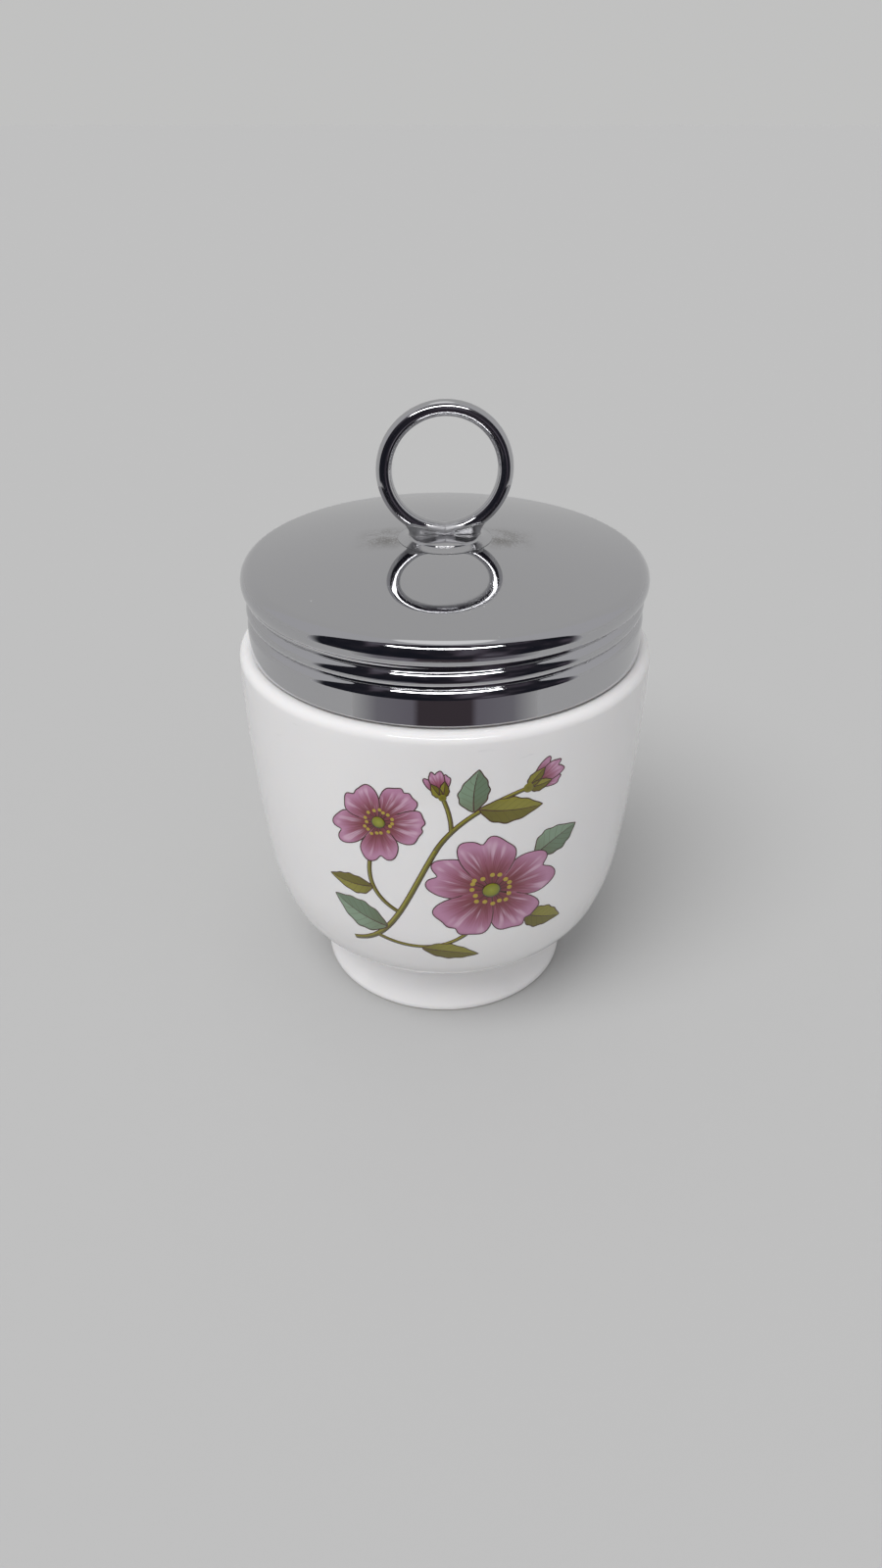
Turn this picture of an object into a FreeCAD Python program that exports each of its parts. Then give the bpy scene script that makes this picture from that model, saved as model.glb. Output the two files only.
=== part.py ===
import FreeCAD, Part
import math
import os
import Sketcher

# A porcelain egg coddler: a round cup on a foot, and a pressed metal screw lid
# with a wire ring brazed to its middle.
# Millimetres, Z up. The origin is the centre of the foot's resting face, and Z is
# the screw's axis. The thread is right-hand, with one start.

SIZES = {
    # foot
    "footRadius": 21.9,         # outside of the foot where it rests
    "footBevel": 0.6,           # bevel of that outside edge
    "toeHeight": 2.4,           # where the foot's straight toe ends
    "toeTaper": 1.1,            # how much narrower the toe is there
    "footFlare": 3.0,           # from its narrowest place out to where it rests
    "footFillet": 1.2,          # between the foot and the bowl
    "footLand": 3.6,            # width of the foot's ring at the resting face
    "footWall": 3.3,            # thickness of the foot at its narrowest place
    "recessEdge": 0.5,          # bevels of the hollow under the foot
    "recessCorner": 1.2,
    "floorWall": 4.4,           # from that hollow's top up to the cup's floor
    # bowl
    "shoulderWidth": 3.55,      # from the neck out to the bowl's widest place
    "widestDrop": 1.6,          # that place below the shoulder
    "bellyHeight": 26.1,        # where the side arc meets the belly arc
    "bowlBottom": 9.7,          # lowest point of the bowl's outside
    "sideArc": 300.0,
    "bellyArc": 38.7,
    "cornerArc": 11.4,
    "wall": 3.6,
    # shoulder, neck and rim
    "shoulderHeight": 63.0,
    "shoulderArc": 1.5,
    "neckRadius": 29.75,
    "neckBevel": 0.5,           # in the corner between neck and shoulder
    "neckWall": 2.85,
    "neckHeight": 13.2,         # from the shoulder up to the rim
    "throatRise": 0.4,          # where the straight mouth ends, above the shoulder
    "throatArc": 5.0,           # the mouth's lower corner
    "underArc": 8.0,            # the hollow under the shoulder
    # screw thread
    "pitch": 2.7,
    "threadTurns": 2.0,
    "threadRise": 3.4,          # start of the cup's ridge, at +Y, above the shoulder
    "ridgeHeight": 0.95,        # how far the cup's ridge stands out of the neck
    "ridgeRoot": 1.5,           # its width at the neck
    "ridgeCrest": 0.7,          # its width at the top
    "ridgeBury": 0.2,           # how far it reaches into the neck's wall
    "threadGap": 0.2,           # radial clearance between the lid and that ridge
    # lid cap
    "sheetMetal": 0.6,          # thickness of the pressed sheet
    "skirtGap": 0.3,            # from the shoulder up to the skirt's edge
    "seatGap": 0.12,            # from the rim up to the cap's ceiling
    "domeArc": 148.0,           # outside of the domed top
    "edgeArc": 2.4,             # outside of the rounded top edge
    "edgeBulge": 0.54,          # how far that edge stands out past the skirt
    "edgeFillet": 0.8,          # hollow between that edge and the skirt
    "grooveDepth": 0.85,        # the rolled groove, seen from outside
    "grooveMouth": 1.7,
    "grooveBottom": 0.5,
    "rollRoot": 1.9,            # the same groove, seen as a ridge from inside
    "rollCrest": 0.8,
    "rollBury": 0.5,            # how far that ridge reaches into the sheet
    # boss in the middle of the cap
    "bossRadius": 7.3,
    "bossLip": 0.12,            # height of the boss at its outside
    "bossSlope": 1.7,           # from its upper edge out to its lower one
    "bossHeight": 0.7,
    "bossBevel": 0.3,           # bevel of its upper edge
    # saddle and ring
    "seatInset": 0.1,           # from the boss's upper edge in to the saddle's end
    "seatLip": 0.49,            # the saddle's side beside the wire, at the boss
    "seatHeight": 1.8,
    "seatFlare": 0.8,           # how much further each end reaches at the top
    "seatSpread": 0.3,          # how much further each side reaches at the top
    "seatBevel": 0.25,          # bevel of the saddle's upper edge
    "ringRadius": 9.21,         # centre line of the wire
    "wireRadius": 1.21,
    "wireFlat": 0.57,           # ground off the wire where it stands on the boss
    "ringPoint": 12.0,          # degrees each side of the bottom that are straight
    "ringSeam": 0.1,            # butt seam between the wire's ends
    "ringYaw": 4.1,             # degrees from the X axis to the ring
}

# Sizes that follow from those above, as expressions on the sheet.
FOOT_NECK = "(Sizes.footRadius - Sizes.footFlare)"
RECESS_LOW = "(Sizes.footRadius - Sizes.footLand)"
RECESS_HIGH = "(%s - Sizes.footWall)" % FOOT_NECK
RECESS_TOP = "(Sizes.bowlBottom + Sizes.wall - Sizes.floorWall)"
BOWL_RADIUS = "(Sizes.neckRadius + Sizes.shoulderWidth)"
WIDEST = "(Sizes.shoulderHeight - Sizes.widestDrop)"
CORNER_HEIGHT = "(Sizes.bowlBottom + Sizes.cornerArc)"
MOUTH = "(Sizes.neckRadius - Sizes.neckWall)"
THROAT = "(Sizes.shoulderHeight + Sizes.throatRise)"
RIM_TOP = "(Sizes.shoulderHeight + Sizes.neckHeight)"
RIM_ROUND = "Sizes.neckWall / 2"
RIM_MIDDLE = "(Sizes.neckRadius - Sizes.neckWall / 2)"
RIM_CENTRE = "(%s - %s)" % (RIM_TOP, RIM_ROUND)
THREAD_START = "(Sizes.shoulderHeight + Sizes.threadRise)"
CAP_INSIDE = "(Sizes.neckRadius + Sizes.ridgeHeight + Sizes.threadGap)"
CAP_OUTSIDE = "(%s + Sizes.sheetMetal)" % CAP_INSIDE
SKIRT_EDGE = "(Sizes.shoulderHeight + Sizes.skirtGap)"
GROOVE_START = "(%s + Sizes.pitch / 2)" % THREAD_START
EDGE_MIDDLE = "(%s + Sizes.edgeBulge - Sizes.edgeArc)" % CAP_OUTSIDE
# the cap's ceiling is a sphere that clears the rounded rim by the seat gap
CEILING_REACH = "(Sizes.domeArc - Sizes.sheetMetal - Sizes.seatGap - %s)" % RIM_ROUND
DOME_CENTRE = "(%s - sqrt(%s^2 - (%s)^2))" % (RIM_CENTRE, CEILING_REACH, RIM_MIDDLE)
BOSS_FOOT = "(%s + sqrt(Sizes.domeArc^2 - Sizes.bossRadius^2))" % DOME_CENTRE
BOSS_TOP = "(%s + Sizes.bossHeight)" % BOSS_FOOT
BOSS_EDGE = "(Sizes.bossRadius - Sizes.bossSlope)"
SEAT_LENGTH = "2 * (%s - Sizes.seatInset)" % BOSS_EDGE
SEAT_WIDTH = "2 * (Sizes.wireRadius + Sizes.seatLip)"
RING_CENTRE = "(%s + Sizes.ringRadius + Sizes.wireRadius - Sizes.wireFlat)" % BOSS_TOP
UP = FreeCAD.Vector(0, 0, 1)

doc = FreeCAD.newDocument("EggCoddler")
sheet = doc.addObject("Spreadsheet::Sheet", "Sizes")
for row, (alias, size) in enumerate(SIZES.items(), start=1):
    sheet.set("A%d" % row, alias)
    sheet.set("B%d" % row, str(size))
    sheet.setAlias("B%d" % row, alias)
doc.recompute()


def value(expression):
    """The number that an expression on the sheet has now."""
    number = sheet.evalExpression(str(expression))
    return float(getattr(number, "Value", number))


def vector(point):
    return FreeCAD.Vector(point[0], point[1], 0)


def polar(centre, radius, degrees):
    """The point at an angle on a circle."""
    angle = math.radians(degrees)
    return (centre[0] + radius * math.cos(angle), centre[1] + radius * math.sin(angle))


def bearing(start, end):
    """The angle, in degrees, from one point to another."""
    return math.degrees(math.atan2(end[1] - start[1], end[0] - start[0]))


class Outline:
    """One outline in a sketch. Each edge starts where the last one ended, is drawn
    near its place, and is held there by dimensions that are bound to the sheet."""

    START, END, CENTRE = 1, 2, 3
    ORIGIN = (-1, 1)

    def __init__(self, body, name, plane):
        role = plane + "_Plane"
        support = next(item for item in body.Origin.OriginFeatures if item.Role == role)
        self.sketch = body.newObject("Sketcher::SketchObject", name)
        self.sketch.AttachmentSupport = (support, [""])
        self.sketch.MapMode = "FlatFace"
        self.at = None
        self.leaving = None
        self.entering = None

    def bind(self, kind, *points, size):
        """Add a dimension that takes its number from the sheet."""
        index = self.sketch.addConstraint(Sketcher.Constraint(kind, *points, value(size)))
        self.sketch.setExpression("Constraints[%d]" % index, str(size))

    def relate(self, kind, *points):
        self.sketch.addConstraint(Sketcher.Constraint(kind, *points))

    def hold(self, point, x=None, y=None):
        """Hold a point at a distance from the sketch's origin."""
        if x is not None:
            self.bind("DistanceX", *self.ORIGIN, *point, size=x)
        if y is not None:
            self.bind("DistanceY", *self.ORIGIN, *point, size=y)

    def start(self, x, y):
        """Where the next edge starts. It isn't held there."""
        self.at = (x, y)

    def follow(self, shape, backwards, smooth):
        """Add an edge after the last one and note where it starts and ends."""
        edge = self.sketch.addGeometry(shape)
        entry, way_out = (edge, self.START), (edge, self.END)
        if backwards:
            entry, way_out = way_out, entry
        if self.leaving:
            self.relate("Tangent" if smooth else "Coincident", *self.leaving, *entry)
        else:
            self.entering = entry
        self.leaving = way_out
        return edge

    def line(self, end, x=None, y=None, smooth=False, along=None):
        """A line to about the end given. x and y hold its end, and along is
        Horizontal or Vertical."""
        shape = Part.LineSegment(vector(self.at), vector(end))
        edge = self.follow(shape, False, smooth)
        self.hold(self.leaving, x, y)
        if along:
            self.relate(along, edge)
        self.at = end
        return edge

    def arc(self, centre, end, radius=None, x=None, y=None, clockwise=False, smooth=False):
        """An arc about a centre. radius, x and y hold its radius and its end."""
        reach = (vector(self.at) - vector(centre)).Length
        first = math.radians(bearing(centre, self.at))
        last = math.radians(bearing(centre, end))
        if clockwise:
            first, last = last, first
        circle = Part.Circle(vector(centre), UP, reach)
        shape = Part.ArcOfCircle(circle, first, last)
        edge = self.follow(shape, clockwise, smooth)
        if radius is not None:
            self.bind("Radius", edge, size=radius)
        self.hold(self.leaving, x, y)
        self.at = end
        return edge

    def corners(self, points):
        """A closed outline of straight edges, each corner held."""
        ends = [(value(x), value(y)) for x, y in points]
        self.start(*ends[-1])
        for (x, y), end in zip(points, ends):
            self.line(end, x=x, y=y)
        self.close()

    def close(self):
        self.relate("Coincident", *self.leaving, *self.entering)


def revolve(body, outline, name, kind="PartDesign::Revolution"):
    """Turn an outline about the axis: a Revolution adds and a Groove cuts."""
    feature = body.newObject(kind, name)
    feature.Profile = outline.sketch
    feature.ReferenceAxis = (outline.sketch, ["V_Axis"])
    feature.Angle = 360
    return feature


def wind(body, outline, name, kind):
    """Wind an outline up the axis along the thread, from +Y."""
    feature = body.newObject(kind, name)
    feature.Profile = outline.sketch
    feature.ReferenceAxis = (outline.sketch, ["V_Axis"])
    feature.Mode = "pitch-turns-angle"
    feature.setExpression("Pitch", "Sizes.pitch * 1mm")
    feature.setExpression("Turns", "Sizes.threadTurns")
    return feature


def bowlArcs(inset):
    """Centres and joints of the three arcs of the bowl's side, for a surface that
    lies so far inside the outer one. All three arcs keep their centres."""
    side = value("Sizes.sideArc")
    belly = value("Sizes.bellyArc")
    corner = value("Sizes.cornerArc")
    side_middle = (value(BOWL_RADIUS) - side, value(WIDEST))
    drop = value("%s - Sizes.bellyHeight" % WIDEST)
    side_angle = -math.degrees(math.asin(drop / side))
    belly_middle = polar(side_middle, side - belly, side_angle)
    drop = belly_middle[1] - value("Sizes.bowlBottom") - corner
    belly_angle = -math.degrees(math.asin(drop / (belly - corner)))
    corner_middle = polar(belly_middle, belly - corner, belly_angle)
    return {
        "corner": corner_middle,
        "belly": belly_middle,
        "side": side_middle,
        "cornerEnd": polar(belly_middle, belly - inset, belly_angle),
        "bellyEnd": polar(side_middle, side - inset, side_angle),
    }


def addBowlSide(outline, inset, side_end):
    """The corner, belly and side arcs, from the bottom up."""
    near = bowlArcs(value(inset))
    share = "(1 - %s / Sizes.sideArc)" % inset
    joint_height = "%s - %s * (%s - Sizes.bellyHeight)" % (WIDEST, share, WIDEST)
    corner = outline.arc(near["corner"], near["cornerEnd"], smooth=True,
                         radius="Sizes.cornerArc - %s" % inset)
    outline.hold((corner, outline.CENTRE), y=CORNER_HEIGHT)
    outline.arc(near["belly"], near["bellyEnd"], smooth=True,
                radius="Sizes.bellyArc - %s" % inset, y=joint_height)
    side = outline.arc(near["side"], side_end, smooth=True,
                       radius="Sizes.sideArc - %s" % inset)
    outline.hold((side, outline.CENTRE), x="%s - Sizes.sideArc" % BOWL_RADIUS, y=WIDEST)


def drawCupOutside(body):
    """Half of the cup's outer form: foot, bowl, shoulder, neck and rounded rim."""
    outline = Outline(body, "CupOutside", "XZ")
    foot = value("Sizes.footRadius")
    bevel = value("Sizes.footBevel")
    toe = (foot - value("Sizes.toeTaper"), value("Sizes.toeHeight"))
    near = bowlArcs(0)
    fillet = value("Sizes.footFillet")
    neck = value(FOOT_NECK)
    across = neck + fillet - near["corner"][0]
    rise = math.sqrt((value("Sizes.cornerArc") + fillet) ** 2 - across ** 2)
    fillet_middle = (neck + fillet, near["corner"][1] - rise)
    cove_width = toe[0] - neck
    cove_height = fillet_middle[1] - toe[1]
    cove = (cove_width ** 2 + cove_height ** 2) / (2 * cove_width)
    cove_middle = (neck + cove, fillet_middle[1])
    bowl_start = polar(fillet_middle, fillet, bearing(fillet_middle, near["corner"]))

    outline.start(0, 0)
    base = outline.line((foot - bevel, 0), x="Sizes.footRadius - Sizes.footBevel", y="0")
    outline.hold((base, outline.START), x="0", y="0")
    outline.line((foot, bevel), x="Sizes.footRadius", y="Sizes.footBevel")
    outline.line(toe, x="Sizes.footRadius - Sizes.toeTaper", y="Sizes.toeHeight")
    cove_arc = outline.arc(cove_middle, (neck, fillet_middle[1]), clockwise=True,
                           x=FOOT_NECK)
    outline.relate("Horizontal", cove_arc, outline.CENTRE, *outline.leaving)
    outline.arc(fillet_middle, bowl_start, clockwise=True, smooth=True,
                radius="Sizes.footFillet")

    shoulder = value("Sizes.shoulderArc")
    height = value("Sizes.shoulderHeight")
    side = near["side"]
    drop = height - shoulder - side[1]
    reach = math.sqrt((value("Sizes.sideArc") - shoulder) ** 2 - drop ** 2)
    shoulder_middle = (side[0] + reach, height - shoulder)
    side_end = polar(shoulder_middle, shoulder, bearing(side, shoulder_middle))
    addBowlSide(outline, "0", side_end)
    outline.arc(shoulder_middle, (shoulder_middle[0], height), smooth=True,
                radius="Sizes.shoulderArc")

    wall = value("Sizes.neckRadius")
    corner = value("Sizes.neckBevel")
    outline.line((wall + corner, height), smooth=True, along="Horizontal",
                 x="Sizes.neckRadius + Sizes.neckBevel", y="Sizes.shoulderHeight")
    outline.line((wall, height + corner), x="Sizes.neckRadius",
                 y="Sizes.shoulderHeight + Sizes.neckBevel")
    rim = (value(RIM_MIDDLE), value(RIM_CENTRE))
    outline.line((wall, rim[1]), x="Sizes.neckRadius", y=RIM_CENTRE)
    outline.arc(rim, (value(MOUTH), rim[1]), smooth=True,
                radius=RIM_ROUND, y=RIM_CENTRE)
    outline.line((0, rim[1]), x="0", y=RIM_CENTRE)
    outline.line((0, 0))
    outline.close()
    return outline


def drawCavity(body):
    """Half of the hollow: a flat floor, the bowl's side at one wall's distance, and
    an S-shaped throat up to the straight mouth."""
    outline = Outline(body, "Cavity", "XZ")
    wall = value("Sizes.wall")
    near = bowlArcs(wall)
    floor = value("Sizes.bowlBottom") + wall

    throat = value("Sizes.throatArc")
    under = value("Sizes.underArc")
    mouth = value(MOUTH)
    throat_middle = (mouth + throat, value(THROAT))
    side_reach = value("Sizes.sideArc") - wall - under
    # the under arc's centre is where two circles meet: one about the side's centre
    # and one about the throat's
    span = (vector(throat_middle) - vector(near["side"])).Length
    cosine = (side_reach ** 2 + span ** 2 - (throat + under) ** 2) / (2 * side_reach * span)
    angle = bearing(near["side"], throat_middle) - math.degrees(math.acos(cosine))
    under_middle = polar(near["side"], side_reach, angle)
    side_end = polar(near["side"], side_reach + under, angle)
    under_end = polar(under_middle, under, bearing(under_middle, throat_middle))

    outline.start(0, floor)
    bottom = outline.line((near["corner"][0], floor), along="Horizontal")
    outline.hold((bottom, outline.START), x="0")
    addBowlSide(outline, "Sizes.wall", side_end)
    outline.arc(under_middle, under_end, smooth=True, radius="Sizes.underArc")
    outline.arc(throat_middle, (mouth, throat_middle[1]), clockwise=True, smooth=True,
                radius="Sizes.throatArc", y=THROAT)
    top = value(RIM_TOP)
    outline.line((mouth, top), smooth=True, along="Vertical", x=MOUTH, y=RIM_TOP)
    outline.line((0, top), x="0", y=RIM_TOP)
    outline.line((0, floor))
    outline.close()
    return outline


def drawRecess(body):
    """Half of the hollow under the foot, with a bevelled edge and corner."""
    outline = Outline(body, "FootRecess", "XZ")
    edge = value("Sizes.recessEdge")
    corner = value("Sizes.recessCorner")
    low = value(RECESS_LOW)
    high = value(RECESS_HIGH)
    ceiling = value(RECESS_TOP)
    outline.start(0, 0)
    base = outline.line((low + edge, 0), x="%s + Sizes.recessEdge" % RECESS_LOW, y="0")
    outline.hold((base, outline.START), x="0", y="0")
    outline.line((low, edge), x=RECESS_LOW, y="Sizes.recessEdge")
    outline.line((high, ceiling - corner), x=RECESS_HIGH,
                 y="%s - Sizes.recessCorner" % RECESS_TOP)
    outline.line((high - corner, ceiling), x="%s - Sizes.recessCorner" % RECESS_HIGH,
                 y=RECESS_TOP)
    outline.line((0, ceiling), x="0", y=RECESS_TOP)
    outline.line((0, 0))
    outline.close()
    return outline


def ridgeProfile(body, name, middle, root, crest, root_width, crest_width):
    """A trapezium with its wide side at the root radius."""
    outline = Outline(body, name, "YZ")
    outline.corners([
        (root, "%s - %s / 2" % (middle, root_width)),
        (crest, "%s - %s / 2" % (middle, crest_width)),
        (crest, "%s + %s / 2" % (middle, crest_width)),
        (root, "%s + %s / 2" % (middle, root_width)),
    ])
    return outline


def makeCup():
    """The porcelain cup, with its ridge wound round the neck."""
    body = doc.addObject("PartDesign::Body", "cup")
    revolve(body, drawCupOutside(body), "CupForm")
    revolve(body, drawCavity(body), "CupCavity", "PartDesign::Groove")
    revolve(body, drawRecess(body), "CupRecess", "PartDesign::Groove")
    ridge = ridgeProfile(body, "NeckRidge", THREAD_START,
                         "Sizes.neckRadius - Sizes.ridgeBury",
                         "Sizes.neckRadius + Sizes.ridgeHeight",
                         "Sizes.ridgeRoot", "Sizes.ridgeCrest")
    wind(body, ridge, "NeckThread", "PartDesign::AdditiveHelix")
    return body


def drawCapSheet(body):
    """Half of the pressed cap: skirt, rounded edge, domed top and a flat middle,
    with an inner side that follows the outer one at the sheet's thickness."""
    outline = Outline(body, "CapSheet", "XZ")
    outside = value(CAP_OUTSIDE)
    sheet_metal = value("Sizes.sheetMetal")
    skirt = value(SKIRT_EDGE)
    dome = value("Sizes.domeArc")
    edge = value("Sizes.edgeArc")
    fillet = value("Sizes.edgeFillet")
    dome_middle = (0, value(DOME_CENTRE))
    across = value(EDGE_MIDDLE)
    edge_middle = (across, dome_middle[1] + math.sqrt((dome - edge) ** 2 - across ** 2))
    dip = math.sqrt((edge + fillet) ** 2 - (outside + fillet - across) ** 2)
    fillet_middle = (outside + fillet, edge_middle[1] - dip)
    edge_angle = bearing(dome_middle, edge_middle)
    fillet_angle = bearing(edge_middle, fillet_middle)
    boss = value("Sizes.bossRadius")
    top = value(BOSS_FOOT)

    outline.start(outside, skirt)
    lower = outline.line((outside, fillet_middle[1]), along="Vertical")
    outline.hold((lower, outline.START), x=CAP_OUTSIDE, y=SKIRT_EDGE)
    outline.arc(fillet_middle, polar(edge_middle, edge, fillet_angle), clockwise=True,
                smooth=True, radius="Sizes.edgeFillet")
    rounded = outline.arc(edge_middle, polar(edge_middle, edge, edge_angle), smooth=True,
                          radius="Sizes.edgeArc")
    outline.hold((rounded, outline.CENTRE), x=EDGE_MIDDLE)
    domed = outline.arc(dome_middle, (boss, top), smooth=True, radius="Sizes.domeArc",
                        x="Sizes.bossRadius")
    outline.hold((domed, outline.CENTRE), x="0", y=DOME_CENTRE)
    outline.line((0, top), along="Horizontal", x="0")
    outline.line((0, top - sheet_metal), x="0", y="%s - Sizes.sheetMetal" % BOSS_FOOT)

    inner_dome = dome - sheet_metal
    inner_edge = edge - sheet_metal
    low_top = top - sheet_metal
    inner_boss = math.sqrt(inner_dome ** 2 - (low_top - dome_middle[1]) ** 2)
    inside = outside - sheet_metal
    outline.line((inner_boss, low_top), along="Horizontal")
    under = outline.arc(dome_middle, polar(edge_middle, inner_edge, edge_angle),
                        clockwise=True, radius="Sizes.domeArc - Sizes.sheetMetal")
    outline.relate("Coincident", under, outline.CENTRE, domed, outline.CENTRE)
    rounded = outline.arc(edge_middle, polar(edge_middle, inner_edge, fillet_angle),
                          clockwise=True, smooth=True,
                          radius="Sizes.edgeArc - Sizes.sheetMetal")
    outline.hold((rounded, outline.CENTRE), x=EDGE_MIDDLE)
    outline.arc(fillet_middle, (inside, fillet_middle[1]), smooth=True,
                radius="Sizes.edgeFillet + Sizes.sheetMetal")
    outline.line((inside, skirt), smooth=True, along="Vertical", x=CAP_INSIDE, y=SKIRT_EDGE)
    outline.line((outside, skirt))
    outline.close()
    return outline


def makeCap():
    """The pressed cap. Its thread is a groove outside and a ridge inside."""
    body = doc.addObject("PartDesign::Body", "lid_cap")
    revolve(body, drawCapSheet(body), "CapShell")
    crest = "%s - Sizes.grooveDepth - Sizes.sheetMetal" % CAP_OUTSIDE
    roll = Outline(body, "RollInside", "YZ")
    roll.corners([
        (crest, "%s - Sizes.rollCrest / 2" % GROOVE_START),
        (CAP_INSIDE, "%s - Sizes.rollRoot / 2" % GROOVE_START),
        ("%s + Sizes.rollBury" % CAP_INSIDE, "%s - Sizes.rollRoot / 2" % GROOVE_START),
        ("%s + Sizes.rollBury" % CAP_INSIDE, "%s + Sizes.rollRoot / 2" % GROOVE_START),
        (CAP_INSIDE, "%s + Sizes.rollRoot / 2" % GROOVE_START),
        (crest, "%s + Sizes.rollCrest / 2" % GROOVE_START),
    ])
    wind(body, roll, "CapRidge", "PartDesign::AdditiveHelix")
    clear = "%s + 2 * Sizes.edgeBulge" % CAP_OUTSIDE
    groove = Outline(body, "RollOutside", "YZ")
    groove.corners([
        ("%s - Sizes.grooveDepth" % CAP_OUTSIDE, "%s - Sizes.grooveBottom / 2" % GROOVE_START),
        (CAP_OUTSIDE, "%s - Sizes.grooveMouth / 2" % GROOVE_START),
        (clear, "%s - Sizes.grooveMouth / 2" % GROOVE_START),
        (clear, "%s + Sizes.grooveMouth / 2" % GROOVE_START),
        (CAP_OUTSIDE, "%s + Sizes.grooveMouth / 2" % GROOVE_START),
        ("%s - Sizes.grooveDepth" % CAP_OUTSIDE, "%s + Sizes.grooveBottom / 2" % GROOVE_START),
    ])
    wind(body, groove, "CapGroove", "PartDesign::SubtractiveHelix")
    return body


def makeBoss():
    """The low round boss on the cap's flat middle."""
    body = doc.addObject("PartDesign::Body", "ring_boss")
    outline = Outline(body, "BossSection", "XZ")
    outer = value("Sizes.bossRadius")
    inner = value(BOSS_EDGE)
    bevel = value("Sizes.bossBevel")
    foot = value(BOSS_FOOT)
    top = value(BOSS_TOP)
    lip = foot + value("Sizes.bossLip")
    cove_width = outer - inner
    cove_height = top - bevel - lip
    cove = (cove_width ** 2 + cove_height ** 2) / (2 * cove_height)
    outline.start(0, foot)
    base = outline.line((outer, foot), x="Sizes.bossRadius", y=BOSS_FOOT)
    outline.hold((base, outline.START), x="0", y=BOSS_FOOT)
    outline.line((outer, lip), x="Sizes.bossRadius", y="%s + Sizes.bossLip" % BOSS_FOOT)
    hollow = outline.arc((outer, lip + cove), (inner, top - bevel), clockwise=True,
                         x=BOSS_EDGE, y="%s - Sizes.bossBevel" % BOSS_TOP)
    outline.hold((hollow, outline.CENTRE), x="Sizes.bossRadius")
    outline.line((inner - bevel, top), x="%s - Sizes.bossBevel" % BOSS_EDGE, y=BOSS_TOP)
    outline.line((0, top), x="0", y=BOSS_TOP)
    outline.line((0, foot))
    outline.close()
    revolve(body, outline, "BossForm")
    return body


def drawOblong(body, name, length, width, height):
    """A lying oblong with round ends, at a height above the XY plane."""
    outline = Outline(body, name, "XY")
    outline.sketch.setExpression("AttachmentOffset.Base.z", height)
    reach = "(%s - %s) / 2" % (length, width)
    half = value("%s / 2" % width)
    end = value(reach)
    outline.start(-end, -half)
    side = outline.line((end, -half), x=reach, y="-%s / 2" % width)
    outline.hold((side, outline.START), x="-%s" % reach, y="-%s / 2" % width)
    outline.arc((end, 0), (end, half), x=reach, y="%s / 2" % width, smooth=True)
    outline.line((-end, half), x="-%s" % reach, y="%s / 2" % width)
    outline.arc((-end, 0), (-end, -half), smooth=True)
    outline.close()
    return outline


def makeRing():
    """The wire ring: round, with straight ends that meet in a butt seam at the
    bottom, and ground flat below so that it stands on the boss."""
    body = doc.addObject("PartDesign::Body", "ring_handle")
    radius = value("Sizes.ringRadius")
    middle = (0, value(RING_CENTRE))
    tip = "Sizes.ringSeam / 2 + Sizes.wireRadius * sin(Sizes.ringPoint * 1deg)"
    joint = polar(middle, radius, value("Sizes.ringPoint") - 90)
    slope = math.tan(math.radians(value("Sizes.ringPoint")))
    tip_at = (value(tip), joint[1] - (joint[0] - value(tip)) * slope)
    path = Outline(body, "RingPath", "XZ")
    path.start(0, middle[1] + radius)
    bend = path.arc(middle, joint, clockwise=True, radius="Sizes.ringRadius",
                    x="Sizes.ringRadius * sin(Sizes.ringPoint * 1deg)")
    path.hold((bend, path.CENTRE), x="0", y=RING_CENTRE)
    path.hold(path.entering, x="0")
    path.line(tip_at, smooth=True, x=tip)

    section = Outline(body, "WireSection", "YZ")
    top = (0, middle[1] + radius)
    circle = section.sketch.addGeometry(
        Part.Circle(vector(top), UP, value("Sizes.wireRadius")))
    section.bind("Radius", circle, size="Sizes.wireRadius")
    section.hold((circle, section.CENTRE), x="0", y="%s + Sizes.ringRadius" % RING_CENTRE)

    half = body.newObject("PartDesign::AdditivePipe", "HalfRing")
    half.Profile = section.sketch
    half.Spine = (path.sketch, ["Edge1", "Edge2"])
    whole = body.newObject("PartDesign::Mirrored", "WholeRing")
    whole.Originals = [half]
    whole.MirrorPlane = (path.sketch, ["V_Axis"])
    body.Tip = whole

    flat = Outline(body, "FlatUnderside", "XZ")
    below = "%s - 2 * Sizes.wireRadius" % BOSS_TOP
    flat.corners([
        ("-Sizes.ringRadius", below),
        ("Sizes.ringRadius", below),
        ("Sizes.ringRadius", BOSS_TOP),
        ("-Sizes.ringRadius", BOSS_TOP),
    ])
    ground = body.newObject("PartDesign::Pocket", "GroundFlat")
    ground.Profile = flat.sketch
    ground.Type = "ThroughAll"
    ground.Midplane = True
    return body


def makeSeat(ring):
    """The saddle that the ring is brazed into: an oblong block that widens upwards,
    cut out where the wire lies."""
    block = doc.addObject("PartDesign::Body", "SaddleBlock")
    length = "(" + SEAT_LENGTH + " + 2 * Sizes.seatFlare - %s)"
    width = "(" + SEAT_WIDTH + " + 2 * Sizes.seatSpread - %s)"
    height = "%s + Sizes.seatHeight - %s"
    foot = drawOblong(block, "SaddleFoot", SEAT_LENGTH, SEAT_WIDTH, BOSS_TOP)
    brow = drawOblong(block, "SaddleBrow", length % "0", width % "0",
                      height % (BOSS_TOP, "Sizes.seatBevel"))
    top = drawOblong(block, "SaddleTop", length % "2 * Sizes.seatBevel",
                     width % "2 * Sizes.seatBevel", height % (BOSS_TOP, "0"))
    loft = block.newObject("PartDesign::AdditiveLoft", "SaddleForm")
    loft.Profile = foot.sketch
    loft.Sections = [(brow.sketch, [""]), (top.sketch, [""])]
    loft.Ruled = True
    seat = doc.addObject("Part::Cut", "ring_seat")
    seat.Base = block
    seat.Tool = ring
    return seat, block


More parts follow.
